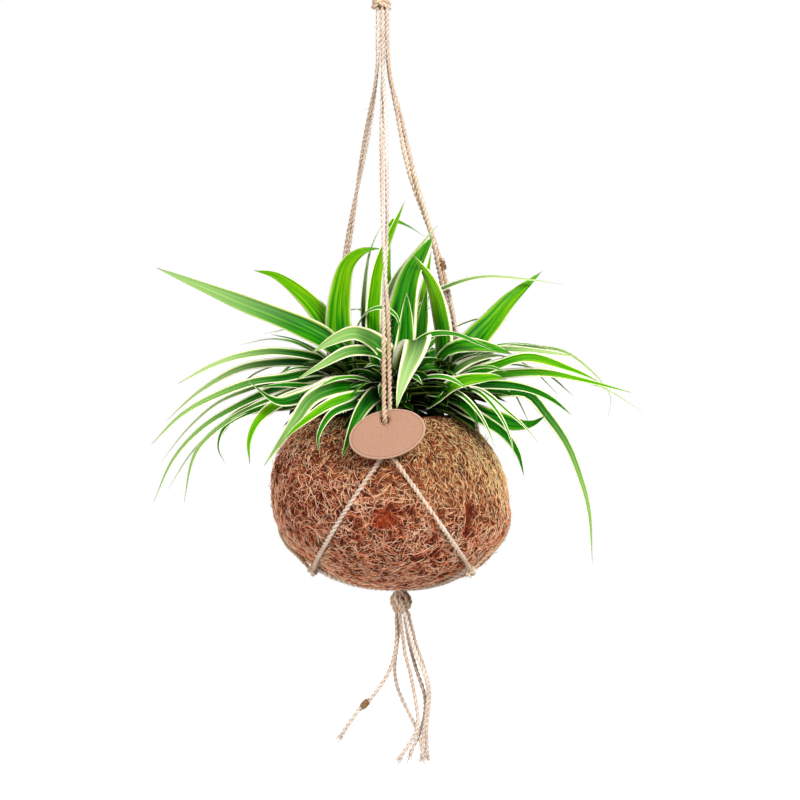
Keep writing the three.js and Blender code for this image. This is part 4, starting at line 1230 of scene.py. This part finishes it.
POLE = -89.9  # degrees, where the outlines start, just beside the axis

PILES = [
    Pile(11000, 4, (5.0, 11.0), (0.19, 0.31), 0.12, 0.0),
    Pile(11000, 4, (5.0, 12.0), (0.18, 0.3), 0.14, 0.35),
    Pile(11000, 4, (5.0, 13.0), (0.17, 0.29), 0.16, 0.7),
    Pile(3400, 5, (10.0, 22.0), (0.16, 0.28), 0.22, 1.0),
]


@dataclass
class CoirBall:
    """The hollow ball: a matted shell with a lumpy surface, and loose fibres laid over it."""

    mat: bpy.types.Material
    fibre: bpy.types.Material
    wall: float = 9.0
    rim_angle: float = 50.5
    lip: float = 2.5  # how far the lip rises over the edges that it joins
    fibre_top: float = 69.0  # no fibre lies higher over the widest line
    columns: int = 240
    rows: int = 96
    noise: Lattice = field(default_factory=lambda: Lattice(7))

    def relief(self, points: Array) -> Array:
        """How far the coir stands off the smooth ball: lumps of three sizes less the dents."""
        lumps = 3.4 * self.noise(points, 34) + 1.8 * self.noise(points + 50, 13)
        lumps += 1.0 * self.noise(points + 90, 5)
        for patch in PATCHES:
            lumps = lumps - patch.dent * patch.weight(points)
        return lumps

    def profile(self, angle: Array, inward: float) -> tuple[Array, Array]:
        """The ball's outline at angles above its widest line in degrees, shrunk inward.

        Returns:
            Radii and heights.
        """
        tall, power = BALL.shape(angle)
        level, up = np.cos(np.radians(angle)), np.sin(np.radians(angle))
        height = np.sign(up) * np.abs(up) ** (2 / power) * (tall - inward)
        return level ** (2 / power) * (BALL.radius - inward), height

    def shell(self) -> None:
        """The outer face up to the mouth, a round lip, and the inner face back down to the axis."""
        r1, z1 = self.profile(np.linspace(POLE, self.rim_angle, self.rows), 0)
        r2, z2 = self.profile(np.linspace(self.rim_angle + 2.7, POLE, self.rows // 4), self.wall)
        lip = np.linspace(0, math.pi, 8)[1:-1]
        middle, half = (r1[-1] + r2[0]) / 2, (r1[-1] - r2[0]) / 2
        r = np.concatenate([r1, middle + half * np.cos(lip), r2])
        z = np.concatenate([z1, z1[-1] + self.lip * np.sin(lip), z2])
        points = turned(r, z, self.columns)
        outer = np.arange(len(r)) < len(r1) + len(lip)
        push = (self.relief(points) - 0.9) * outer[:, None]
        points = points + BALL.normal(points) * push[..., None]
        vertices = BALL.placed(ended(points, [(0, 0, z[0]), (0, 0, z[-1])]))
        built = vertices, tube_faces(len(r), self.columns), {"strand": np.zeros((len(vertices), 3))}
        add_piece("coir_shell", built, self.mat, "coir", "coir_ball")

    def walks(self, pile: Pile, rng: np.random.Generator) -> Array:
        """The lines of one layer's fibres on the smooth ball, as fibres × points × 3.

        The upper right of the ball is combed upwards, and the rest lies at random. A step goes along
        cos a · level + sin a · upward, and the angle a changes by the strand's own curl.
        """
        start = BALL.onto(unit(rng.normal(0, 1, (pile.fibres, 3))) * 85)
        start = start[start[:, 2] < 66]
        count = len(start)
        combed = smoothstep(start[:, 2] + 0.45 * start[:, 0], 0.0, 50.0)
        angle = rng.uniform(0, 2 * math.pi, count) * (1 - combed)
        angle += rng.normal(math.pi / 2, 0.8, count) * combed
        curl = rng.normal(0, pile.curl, count) * (1 - 0.6 * combed)
        high = smoothstep(start[:, 2], -10.0, 45.0)
        reach = rng.uniform(*pile.length, count) * (1 - 0.45 * high) / (pile.steps - 1)
        points = [start]
        for _ in range(pile.steps - 1):
            up = BALL.normal(points[-1])
            level = unit(np.cross(UP, up) + 1e-6)
            way = np.cos(angle)[:, None] * level + np.sin(angle)[:, None] * np.cross(up, level)
            points.append(BALL.onto(points[-1] + way * reach[:, None]))
            angle = angle + curl + rng.normal(0, 0.1, count)
        lines = np.stack(points, axis=1)
        lines[..., 2] = np.minimum(lines[..., 2], self.fibre_top)
        return lines

    def strands(self, layer: int) -> None:
        """One layer of fibres, lifted off the ball in their middles, and some of them at their tips."""
        rng = np.random.default_rng(900 + layer)
        pile = PILES[layer]
        lines = self.walks(pile, rng)
        column = len(lines), 1
        normal = BALL.normal(lines)
        t = np.linspace(0, 1, pile.steps)
        lift = rng.uniform(-0.3, 0.4, column) + pile.lift + np.sin(math.pi * t) * rng.uniform(0, 0.9, column)
        loose = rng.random(column) < 0.006 + 0.012 * pile.lift
        lift = lift + loose * t**2 * rng.uniform(1.5, 5, column)
        lines = lines + normal * (self.relief(lines) - 0.7 + lift)[..., None]
        radius = rng.uniform(*pile.radius, column) * (1 - 0.45 * np.abs(2 * t - 1) ** 2)
        # Painted light: gold lightens the upper right front, where the key lamp falls, as well as tinting it
        # golden; lift darkens the deeper layers with painted shade and lightens the top ones
        gold = smoothstep(lines[..., 2] + 0.42 * lines[..., 0] - 0.15 * lines[..., 1], -5.0, 75.0)
        shade = rng.beta(0.75, 0.8, column) + 0.6 * pile.lift - 0.36 + 0.42 * gold
        fine = 1.5 * (1 - 0.6 * pile.lift) * self.noise(lines + 70, 1.9)
        shade = shade + 0.35 * self.noise(lines + 20, 12) + fine + 0.1
        red = 0.25 * rng.random(column) ** 3
        # A patch's dark paints shade into the dents and over the lamp-lit middle and right; its red is a
        # stain
        for patch in PATCHES:
            near = patch.weight(lines)
            shade = shade - patch.dark * near * 0.8 - patch.red * near * 0.05
            red = red + patch.red * near * rng.uniform(0.7, 1.0, column)
        values = np.stack([shade.clip(0, 1), red.clip(0, 1), gold], -1)
        vertices, faces, strand = threads(lines, radius, normal[:, pile.steps // 2], values)
        built = BALL.placed(vertices), faces, {"strand": strand}
        add_piece(f"coir_fibres_{layer + 1}", built, self.fibre, "coir")

    def build(self) -> None:
        """The shell and every layer of fibres."""
        self.shell()
        for layer in range(len(PILES)):
            self.strands(layer)


@dataclass
class RootBall:
    """Soil that fills the ball, domed and crumbly on top."""

    material: bpy.types.Material
    inward: float = 9.35
    edge_angle: float = 53.2
    dome_top: float = 77.0
    columns: int = 120
    noise: Lattice = field(default_factory=lambda: Lattice(19))

    def build(self, ball: CoirBall) -> None:
        """The ball's inner outline, closed by a dome whose height has crumbs of two sizes."""
        r1, z1 = ball.profile(np.linspace(POLE, self.edge_angle, 30), self.inward)
        r2 = np.linspace(r1[-1], 0.4, 46)[1:]
        z2 = z1[-1] + (self.dome_top - z1[-1]) * (1 - (r2 / r1[-1]) ** 2)
        r, z = np.concatenate([r1, r2]), np.concatenate([z1, z2])
        points = turned(r, z, self.columns)
        rough = 3.0 * self.noise(points, 7) + 1.6 * self.noise(points + 30, 2.6)
        points[len(r1) :, :, 2] += rough[len(r1) :]
        vertices = BALL.placed(ended(points, [(0, 0, z[0]), (0, 0, z[-1])]))
        built = vertices, tube_faces(len(r), self.columns), {}
        add_piece("soil", built, self.material, "soil", "root_ball")


# Tag


@dataclass
class Tag:
    """An oval card with a round hole, leaning off the front shoulder knot."""

    material: bpy.types.Material
    at: Point = (4.9, -93.8, -427.4)
    half: tuple[float, float] = (30.5, 20.2)
    thick: float = 2.0
    turn: float = 16.0  # degrees in its own plane
    lean: float = 24.0  # degrees off upright
    hole: tuple[float, float] = (1.2, 11.4)
    hole_radius: float = 3.6
    bevel: float = 0.35
    rays: int = 180
    rows: int = 26  # on each face

    def build(self) -> None:
        """A ring surface: each ray runs from the hole's edge to the rim in front, and back again behind.

        Both faces drop by the bevel at the rim and at the hole's edge, which rounds them.
        """
        angle = around(self.rays)
        rim = np.stack([self.half[0] * np.cos(angle), self.half[1] * np.sin(angle)], -1)
        hole = np.array(self.hole) + self.hole_radius * np.stack([np.cos(angle), np.sin(angle)], -1)
        share = np.linspace(0, 1, self.rows) ** 0.7
        drop = np.isin(share, (0, 1)) * self.bevel
        flat = hole + (rim - hole) * share[:, None, None]
        out = np.hypot(flat[..., 0] / self.half[0], flat[..., 1] / self.half[1])
        off = np.broadcast_to((self.thick / 2 - drop)[:, None], out.shape)
        flat, out = np.concatenate([flat, flat[::-1]]), np.concatenate([out, out[::-1]])
        front = np.concatenate([off, -off[::-1]])
        turn, lean = math.radians(self.turn), math.radians(self.lean)
        u = flat[..., 0] * math.cos(turn) - flat[..., 1] * math.sin(turn)
        v = flat[..., 0] * math.sin(turn) + flat[..., 1] * math.cos(turn)
        y = -front * math.cos(lean) + v * math.sin(lean)
        z = v * math.cos(lean) + front * math.sin(lean)
        column = np.arange(self.rays)
        after, back = (column + 1) % self.rays, (len(front) - 1) * self.rays
        closing = np.stack([back + column, back + after, after, column], -1)
        faces = [np.concatenate([grid_faces(len(front), self.rays), closing])]
        plate = np.stack([out, front, np.zeros_like(out)], -1)
        built = np.stack([u, y, z], -1) + self.at, faces, {"plate": plate}
        add_piece("oval_tag", built, self.material, "tag", "tag")


# Plant


class ToneAndLight(Enum):
    """A leaf's tone, which holds its painted shade, light and glow, and the painted sheen on its outer half
    or, below 0, the painted shadow on its inner half.
    """

    SHADED = (-0.6, 0.0)
    DIM = (-0.28, 0.0)
    DEEP = (0.1, 0.0)
    GREEN = (0.26, 0.03)
    BRIGHT = (0.48, 0.0)
    # These two pale a leaf's outer half with painted sheen
    SHEENED = (0.12, 0.9)
    HALF_SHEENED = (0.24, 0.6)
    # Painted shadow darkens this leaf's inner half
    INNER_SHADOW = (0.12, -0.9)


@dataclass(frozen=True)
class Leaf:
    """One blade: its width, its roll towards the viewer in degrees, and the line of its rib."""

    width: float
    roll: float
    points: tuple[Point, ...] = ()
    arching: tuple[float, float, float, float] = ()  # direction, length, lift and fall
    tint: ToneAndLight = ToneAndLight.GREEN
    cream: float = 0.25  # the margin's share of the half width
    taper: float = 2.2  # the power of the narrowing towards the tip


def leaf(width: float, roll: float, *points: Point, **look: ToneAndLight | float) -> Leaf:
    """A blade through chosen points, whose look is its tint, cream and taper."""
    return Leaf(width, roll, points=points, **look)


def arch(width: float, roll: float, *way: float, **look: ToneAndLight | float) -> Leaf:
    """A plain arching blade, whose way is its direction, length, lift at the root and slope at the tip."""
    return Leaf(width, roll, arching=way, **look)


S, M, D, G, B, W, F, H = ToneAndLight


ROSETTES: dict[str, tuple[tuple[float, float], list[Leaf]]] = {
    "left": ((-28, -2), [
        leaf(24, 66, (-32, -4, 31), (-50, -10, 51), (-72, -16, 63), (-121, -29, 83), (-188, -40, 111), tint=F,
             cream=0.08),
        leaf(22, 64, (-36, 4, 36), (-53, 10, 69), (-73, 18, 92), (-95, 26, 108), (-114, 36, 113), tint=B,
             cream=0.1),
        leaf(26, 10, (-37, 0, 34), (-41, 2, 61), (-40, 3, 93), (-34, 4, 116), (-23, 5, 126), (-10, 7, 129),
             (3, 8, 127), tint=B, cream=0.08),
        leaf(13, 45, (-28, -8, 36), (-26, -14, 62), (-18, -20, 75), (-5, -24, 79), (6, -28, 72),
             (10, -30, 60), cream=0.3),
        leaf(13, 50, (-43, -6, 31), (-88, -13, 43), (-120, -18, 40), (-144, -22, 32), (-172, -26, 17),
             tint=W),
        leaf(13, 45, (-46, 6, 26), (-66, 10, 34), (-102, 14, 34), (-126, 17, 29), (-158, 22, 11),
             (-187, 26, -14), tint=W),
        leaf(13, 45, (-48, -14, 25), (-88, -28, 21), (-110, -34, 18), (-142, -42, 6), (-166, -50, -8),
             (-190, -58, -32), tint=F),
        leaf(11, 40, (-50, 6, 24), (-84, 18, 22), (-118, 28, 12), (-144, 34, 1), (-171, 40, -22),
             (-194, 46, -50), tint=W),
        leaf(10, 45, (-50, -10, 20), (-88, -16, 14), (-123, -20, -1), (-151, -24, -18), (-174, -28, -43),
             (-191, -32, -80), tint=F),
        leaf(9, 40, (-48, 0, 22), (-102, 4, 8), (-140, 8, -18), (-162, 10, -38), (-184, 12, -71), tint=W),
        leaf(9, 45, (-46, -16, 18), (-90, -30, 6), (-128, -40, -12), (-151, -44, -32), (-158, -46, -46),
             (-164, -50, -79), tint=F),
        leaf(9, 45, (-44, -20, 14), (-90, -36, 2), (-131, -42, -17), (-137, -44, -34), (-131, -46, -47),
             tint=D),
        leaf(14, 55, (-44, -24, 12), (-84, -40, 4), (-105, -46, -12), (-112, -50, -29), (-111, -52, -48),
             tint=B),
        leaf(16, 50, (-42, -14, 14), (-65, -22, 5), (-84, -28, -1), (-103, -32, -4), (-119, -36, -9), tint=B),
        leaf(13, 45, (-40, -14, 22), (-56, -24, 15), (-84, -34, 16), (-108, -42, 14), tint=D),
        leaf(18, 55, (-38, -30, 16), (-70, -46, 6), (-90, -54, 3), (-114, -60, 21), tint=D),
        arch(11, 30, 284, 95, 66, 5),
        arch(9, 30, 304, 84, 50, -25, tint=D),
        arch(13, 10, 248, 125, 60, -20),
        arch(11, 0, 236, 150, 40, -50),
    ]),
    "right": ((38, -4), [
        leaf(18, 12, (42, -6, 25), (44, -8, 54), (42, -9, 72), (35, -10, 99), (20, -12, 123), tint=B,
             cream=0.18, taper=3.6),
        leaf(26, 62, (48, 6, 24), (74, 16, 57), (84, 22, 68), (99, 32, 86), (129, 44, 113), tint=B,
             cream=0.07),
        leaf(16, 40, (44, -6, 26), (58, -10, 40), (88, -16, 45), (125, -24, 43), (153, -30, 39), tint=W),
        leaf(8, 40, (46, 6, 28), (90, 12, 46), (132, 18, 47), (148, 20, 43), (165, 23, 31), (178, 25, 18),
             (185, 26, 6), (182, 26, -12), tint=W),
        leaf(17, 50, (46, -10, 20), (81, -30, 29), (111, -38, 38), (148, -46, 28), (168, -52, 19), tint=B),
        leaf(14, 50, (48, -4, 18), (88, -6, 24), (126, -8, 26), (155, -10, 21), (199, -12, 10), tint=B),
        leaf(8, 40, (48, 6, 16), (88, 18, 24), (130, 26, 26), (175, 34, 16), (214, 42, -6), tint=W),
        leaf(15, 50, (46, -16, 14), (74, -36, 16), (106, -48, 14), (128, -54, 6), (146, -60, -8), tint=D),
        leaf(11, 55, (46, -10, 12), (84, -16, 9), (112, -20, 9), (128, -22, -8), (144, -24, -31),
             (155, -25, -58), (162, -26, -84), (165, -28, -129), tint=F),
        leaf(22, 62, (38, -40, 4), (44, -53, 9), (55, -64, 17), (72, -70, 21), (86, -72, 22), (93, -72, 20),
             tint=B, cream=0.16, taper=2.8),
        leaf(6, 40, (46, -20, 10), (73, -50, 12), (96, -60, -6), (110, -66, -19), (119, -70, -30), cream=0.5),
        leaf(6, 40, (44, -24, 10), (58, -64, 8), (69, -76, -3), (78, -82, -18), (84, -86, -34), cream=0.4),
        leaf(6, 40, (46, -24, 12), (72, -62, 10), (88, -72, -8), (96, -78, -26), (99, -82, -42), cream=0.4),
        leaf(19, 62, (50, -19, 1), (66, -29, -6), (88, -35, -12), (104, -37, -16), (116, -37, -15),
             (127, -37, -8), tint=D, cream=0.08, taper=3.0),
        leaf(13, 50, (46, -20, 4), (72, -42, -10), (92, -50, -23), (103, -54, -38), (108, -58, -57), tint=D,
             cream=0.22),
        arch(13, 30, 64, 96, 62, 0),
        arch(10, 30, 44, 90, 48, -20),
        arch(13, 10, 96, 120, 58, -20),
        arch(11, 0, 114, 145, 42, -48),
    ]),
    "front": ((4, -30), [
        leaf(23, 58, (-4, -32, 42), (-26, -40, 57), (-40, -44, 54), (-62, -48, 42), tint=F, cream=0.16,
             taper=2.6),
        leaf(15, 45, (-6, -38, 38), (-30, -48, 43), (-55, -56, 31), (-75, -62, 19), tint=F, cream=0.24),
        leaf(17, 45, (-28, -48, 14), (-46, -64, 12), (-61, -70, 5), (-74, -76, -13), (-98, -86, -48), tint=F,
             cream=0.24),
        leaf(14, 45, (-14, -52, 8), (-34, -72, 5), (-51, -84, -2), (-75, -92, -20), (-84, -95, -30), tint=B),
        leaf(11, 45, (-16, -50, 8), (-27, -76, 1), (-45, -88, -7), (-55, -94, -25), (-53, -96, -39), tint=H,
             cream=0.24),
        leaf(16, 50, (-8, -58, 9), (-19, -80, 0), (-27, -88, -14), (-37, -94, -42), tint=H, cream=0.16),
        leaf(22, 80, (9, -26, 25), (13, -24, 57), (14.5, -24, 91.5), tint=D, cream=0.14, taper=2.8),
        leaf(12, 40, (12, -28, 36), (30, -32, 55), (52, -36, 57), (71, -40, 50), (90, -44, 41), cream=0.2),
        leaf(31, 4, (14, -36, 34), (23, -48, 52), (20.5, -63, 43), (14, -73, 27), (9, -80, 11), (6, -84, -4),
             tint=W, cream=0.26, taper=1.7),
        arch(13, 20, 332, 60, 62, -20, tint=D),
        arch(12, 20, 24, 66, 58, -35, tint=D),
        arch(14, 20, 50, 84, 44, -35),
        arch(13, 20, 306, 80, 40, -30),
    ]),
    "middle": ((6, 0), [
        leaf(20, 82, (-10, -2, 30), (-14, -5, 62), (-12.5, -8, 91), (-8, -10, 117), (13, -16, 167), tint=B,
             cream=0.2),
        leaf(7, 20, (-20, 8, 60), (-20, 13, 104), (-15, 16, 131), (-5, 18, 152), tint=W),
        leaf(12, 72, (2, 10, 60), (-2, 24, 120), (2, 30, 153), (16, 38, 150), (31, 44, 141), tint=B,
             cream=0.1, taper=3.4),
        leaf(11, 25, (-2, 8, 50), (2, 10, 96), (24, 10, 129), (41, 10, 150), tint=W),
        leaf(34, 85, (7, -2, 40), (10, -4, 62), (13, -5, 84), (19, -5, 109), (37, -2, 140), tint=G,
             cream=0.12, taper=2.8),
        leaf(17, 85, (14, 4, 34), (24, 6, 62), (29, 7, 95), (35, 8, 128), tint=B),
        leaf(25, 80, (20, -10, 25), (27, -16, 58), (31, -18, 96), tint=G, cream=0.16, taper=2.8),
        leaf(9, 35, (12, 4, 50), (19, 6, 79), (40, 10, 94), (75, 20, 106), (115, 30, 105), (147, 38, 101),
             tint=W),
        arch(12, 0, 205, 92, 80, 35),
        arch(13, 0, 150, 100, 76, 25),
    ]),
    "back": ((8, 32), [
        arch(13, 10, 117, 180, 50, -52, tint=W),
        arch(17, -10, 127, 150, 66, -10, tint=B),
        arch(11, 10, 140, 215, 40, -62),
        arch(15, 0, 150, 165, 58, -30),
        arch(12, 15, 160, 225, 46, -70, tint=W),
        arch(18, -10, 169, 170, 68, -22, tint=B),
        arch(10, 10, 177, 205, 34, -58),
        arch(16, 0, 186, 190, 56, -48, tint=W),
        arch(12, -15, 196, 225, 42, -66),
        arch(18, 10, 204, 155, 70, -12, tint=B),
        arch(11, 0, 212, 200, 50, -60, tint=W),
        arch(14, 10, 231, 175, 48, -50),
        arch(10, -10, 239, 210, 30, -58, tint=W),
        arch(14, 0, 266, 140, 64, -20),
    ]),
}

# Short inner leaves that fill each rosette: how many, and the range of their directions in degrees
FILL = {"left": (48, 180, 360), "right": (52, 0, 180), "front": (44, 265, 455), "middle": (40, 0, 360),
        "back": (40, 80, 280)}
# Tints of the filling leaves: mostly painted shade, as they lie in the rosettes' hearts
FILL_TINTS = {"left": [S, S, M], "right": [S, M, M, D], "front": [S, S, H], "middle": [S, M, D],
              "back": [M, D, G]}
FILL_ROWS = {
    "left": [
        leaf(22, 0, (-30, 4, 28), (-31, 6, 44), (-34, 9, 68), tint=M, cream=0.08),
        leaf(24, 0, (-23, 6, 28), (-20, 10, 44), (-18, 14, 82), tint=M, cream=0.08),
    ],
    "right": [
        leaf(20, 62, (40, -18, 30), (48, -24, 43), (62, -28, 48), (84, -32, 46), (100, -34, 41), tint=G,
             cream=0.14, taper=2.8),
        leaf(14, 60, (44, -16, 20), (54, -20, 28), (68, -24, 36), (86, -28, 40), (94, -30, 40), tint=W,
             cream=0.5),
        leaf(17, 50, (48, -16, 10), (60, -22, 5), (78, -30, -8), tint=M, cream=0.14),
        leaf(15, 50, (46, -22, 8), (58, -32, 2), (70, -42, -12), tint=D, cream=0.2),
        leaf(14, 60, (50, 4, 20), (66, 8, 33), (86, 12, 38), tint=D, cream=0.16),
        leaf(15, 50, (48, -4, 12), (70, -6, 14), (94, -8, 8), tint=M, cream=0.16),
        leaf(14, 40, (46, -14, 16), (66, -28, 20), (92, -40, 14), tint=D, cream=0.2),
    ],
    "back": [
        leaf(24, 60, (16, 30, 1), (36, 33, 4), (62, 34, 0), tint=M, cream=0.08),
        leaf(24, 60, (0, 34, 1), (-22, 38, 6), (-48, 40, 2), tint=M, cream=0.08),
        leaf(22, 60, (12, 26, 4), (28, 24, 10), (52, 20, 8), tint=M, cream=0.08),
    ],
}


@dataclass
class SpiderPlant:
    """Rosettes of variegated strap leaves, each growing from a short crown in the soil."""

    material: bpy.types.Material
    stations: int = 34
    fill_stations: int = 14
    columns: int = 9
    fold: float = 0.34
    thick: float = 0.9
    crown_radius: float = 7.5
    crown_neck: float = 4.5
    crown_top: float = 11.0
    crown_foot: float = -32.0
    crown_columns: int = 36
    crown_rows: int = 24

    def rib(self, root: Array, row: Leaf, stations: int) -> tuple[Array, Array]:
        """The rib's line from its root to its tip, evenly spaced, and the level way that the leaf leans.

        An arching leaf turns by equal steps of length from its lift to its fall, slowly at first.
        """
        if row.points:
            rest = np.array(row.points, float)
        else:
            direction, length, lift, fall = row.arching
            steps = 24
            slope = np.radians(lift + (fall - lift) * ((np.arange(steps) + 0.5) / steps) ** 1.15)
            turn = math.radians(direction)
            way = np.array([math.sin(turn), -math.cos(turn), 0])
            move = np.cos(slope)[:, None] * way + np.sin(slope)[:, None] * UP
            rest = (root + np.cumsum(move, axis=0) * length / steps)[5::6]
        level = unit(np.sum(rest - root, axis=0) * (1, 1, 0))
        curve = catmull(np.vstack([root + 2.5 * level, rest]), np.linspace(0, 1, 60 * len(rest)))
        return resample(curve, lengths(curve)[-1] / (stations - 1)), level

    def blade(self, root: Array, row: Leaf, seed: int, stations: int) -> Built:
        """One blade as a closed mesh: loops of points round its section, from the root to a point at the tip.

        Its half width is (0.5 + 0.5 smoothstep(s)) (1 - s^taper). Across it the margins rise as |a|^1.4 of
        the fold and wave a little, and it thins from the rib to the margins as 1 - 0.75 a².
        """
        rng = np.random.default_rng(seed)
        line, level = self.rib(root, row, stations)
        s = np.linspace(0, 1, len(line))[:, None]
        along = directions(line)
        flat_up = square(UP * np.sum(along * level, axis=1, keepdims=True) - level * along[:, 2:], along)
        flat_side = np.cross(along, flat_up)
        roll = math.radians(row.roll) * (-1 if level[0] < 0 else 1) + 0.12 * np.sin(3 * s + phase(rng))
        up = flat_up * np.cos(roll) + flat_side * np.sin(roll)
        side = np.cross(along, up)
        half = row.width / 2 * (0.5 + 0.5 * smoothstep(s, 0, 0.38)) * (1 - s**row.taper)
        a = np.linspace(-1, 1, self.columns)
        a = np.concatenate([a, a[-2:0:-1]])
        under = np.concatenate([np.zeros(self.columns), np.ones(self.columns - 2)])
        wave = 0.07 * np.sin(2 * math.pi * (s * rng.uniform(1.5, 3.5) + rng.random())) * a**2 * np.sign(a)
        rise = half * (self.fold * (1 - 0.5 * s) * np.abs(a) ** 1.4 + wave)
        body = self.thick * (1 - 0.3 * s) * (1 - 0.75 * a**2) * np.minimum(1, half / 1.5)
        rise = rise + body / 2 * np.where(under > 0, -1, 1) * (np.abs(a) < 0.999)
        points = line[:, None] + side[:, None] * (half * a)[..., None] + up[:, None] * rise[..., None]
        vertices = ended(points[:-1], line[[0, -1]])
        blade = np.stack(np.broadcast_arrays(a, s[:-1], under), -1)
        tone = row.tint.value[0] + rng.uniform(-0.06, 0.06)
        cream = row.cream * rng.uniform(0.85, 1.15)
        look = np.broadcast_to([tone, cream, row.tint.value[1]], (len(vertices), 3))
        attributes = {"blade": ended(blade, [(0, 0, 0), (0, 1, 0)]), "look": look}
        return vertices, tube_faces(len(line) - 1, len(a)), attributes

    def crown(self, at: tuple[float, float]) -> Built:
        """The crown: leaf bases wrapped round each other, as a ridged turned shape."""
        z = np.linspace(self.crown_foot, self.crown_top, self.crown_rows)
        heights = [self.crown_foot, self.crown_foot + 3, 1, self.crown_top]
        r = np.interp(z, heights, [6, self.crown_radius, self.crown_radius, self.crown_neck])[:, None]
        ridged = r * (0.93 + 0.07 * np.cos(5 * around(self.crown_columns) + z[:, None] * 0.08))
        points = ended(turned(ridged, z, self.crown_columns), [(0, 0, z[0]), (0, 0, z[-1] + 1)]) + (*at, 0)
        blade = np.broadcast_to([0.0, 0.05, 1.0], points.shape)
        look = np.broadcast_to([0.5, 0.1, 0.5], points.shape)
        return points, tube_faces(self.crown_rows, self.crown_columns), {"blade": blade, "look": look}

    def filling(self, name: str) -> list[Leaf]:
        """Short leaves in a rosette's heart, in directions spread over its range with seeded chance."""
        count, low, high = FILL[name]
        rng = np.random.default_rng(len(name) * 77)
        rows = []
        for i in range(count):
            direction = low + (high - low) * (i + rng.random()) / count
            lying = i % 2 == 0
            lift = rng.uniform(-4, 30) if lying else rng.uniform(28, 80)
            fall = lift - (rng.uniform(20, 50) if lying else rng.uniform(50, 110))
            tint = rng.choice(FILL_TINTS[name])
            near = 0.6 if name == "front" and abs(direction - 360) < 38 else 1.0
            way = (direction, near * rng.uniform(42, 76), lift, fall)
            cream = rng.uniform(0.04, 0.2)
            width, roll, taper = rng.uniform(11, 19), rng.uniform(-30, 50), rng.uniform(2.4, 4)
            rows.append(Leaf(width, roll, (), way, tint, cream, taper))
        return rows + FILL_ROWS.get(name, [])

    def rosette(
        self, name: str, at: tuple[float, float], rows: list[Leaf], stations: int, *nodes: str
    ) -> None:
        """One piece of blades, rooted at five heights, with the crown under them if it stands for a node."""
        parts = [self.crown(at)] if nodes else []
        for i, row in enumerate(rows):
            root = np.array([*at, 1 + 1.6 * (i % 5)])
            parts.append(self.blade(root, row, 1000 + 37 * i + len(name), stations))
        vertices, faces, attributes = joined(parts)
        add_piece(name, (vertices + PLANT, faces, attributes), self.material, "leaf", *nodes)

    def build(self) -> None:
        """One piece for each rosette, and one for the short leaves that fill it."""
        for name, (at, rows) in ROSETTES.items():
            self.rosette(f"rosette_{name}", at, rows, self.stations, f"leaves_{name}")
            self.rosette(f"inner_leaves_{name}", at, self.filling(name), self.fill_stations)


def log_totals() -> None:
    """Logs the triangles of the largest pieces and of all."""
    counts = {}
    for made in bpy.data.objects:
        if made.type == "MESH":
            made.data.calc_loop_triangles()
            counts[made.name] = len(made.data.loop_triangles)
    largest = sorted(counts.items(), key=lambda c: -c[1])[:8]
    log.info("triangles %d, largest %s", sum(counts.values()), largest)


def main() -> None:
    """Builds the studio, the cords, and then the rest of the planter."""
    logging.basicConfig(level=logging.INFO, format="%(message)s")
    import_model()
    Studio().build()
    hanger = Hanger(TwineMaker(JuteTwine().build()))
    hanger.tails()
    hanger.loop()
    hanger.legs()
    hanger.net()
    hanger.under()
    hanger.small_knots()
    hanger.gathering_knots()
    hanger.burrs()
    hanger.hairs()
    ball = CoirBall(CoirMat().build(), CoirFibre().build())
    ball.build()
    RootBall(PottingSoil().build()).build(ball)
    Tag(TanCard().build()).build()
    SpiderPlant(VariegatedLeaf().build()).build()
    log_totals()


if __name__ == "__main__":
    main()
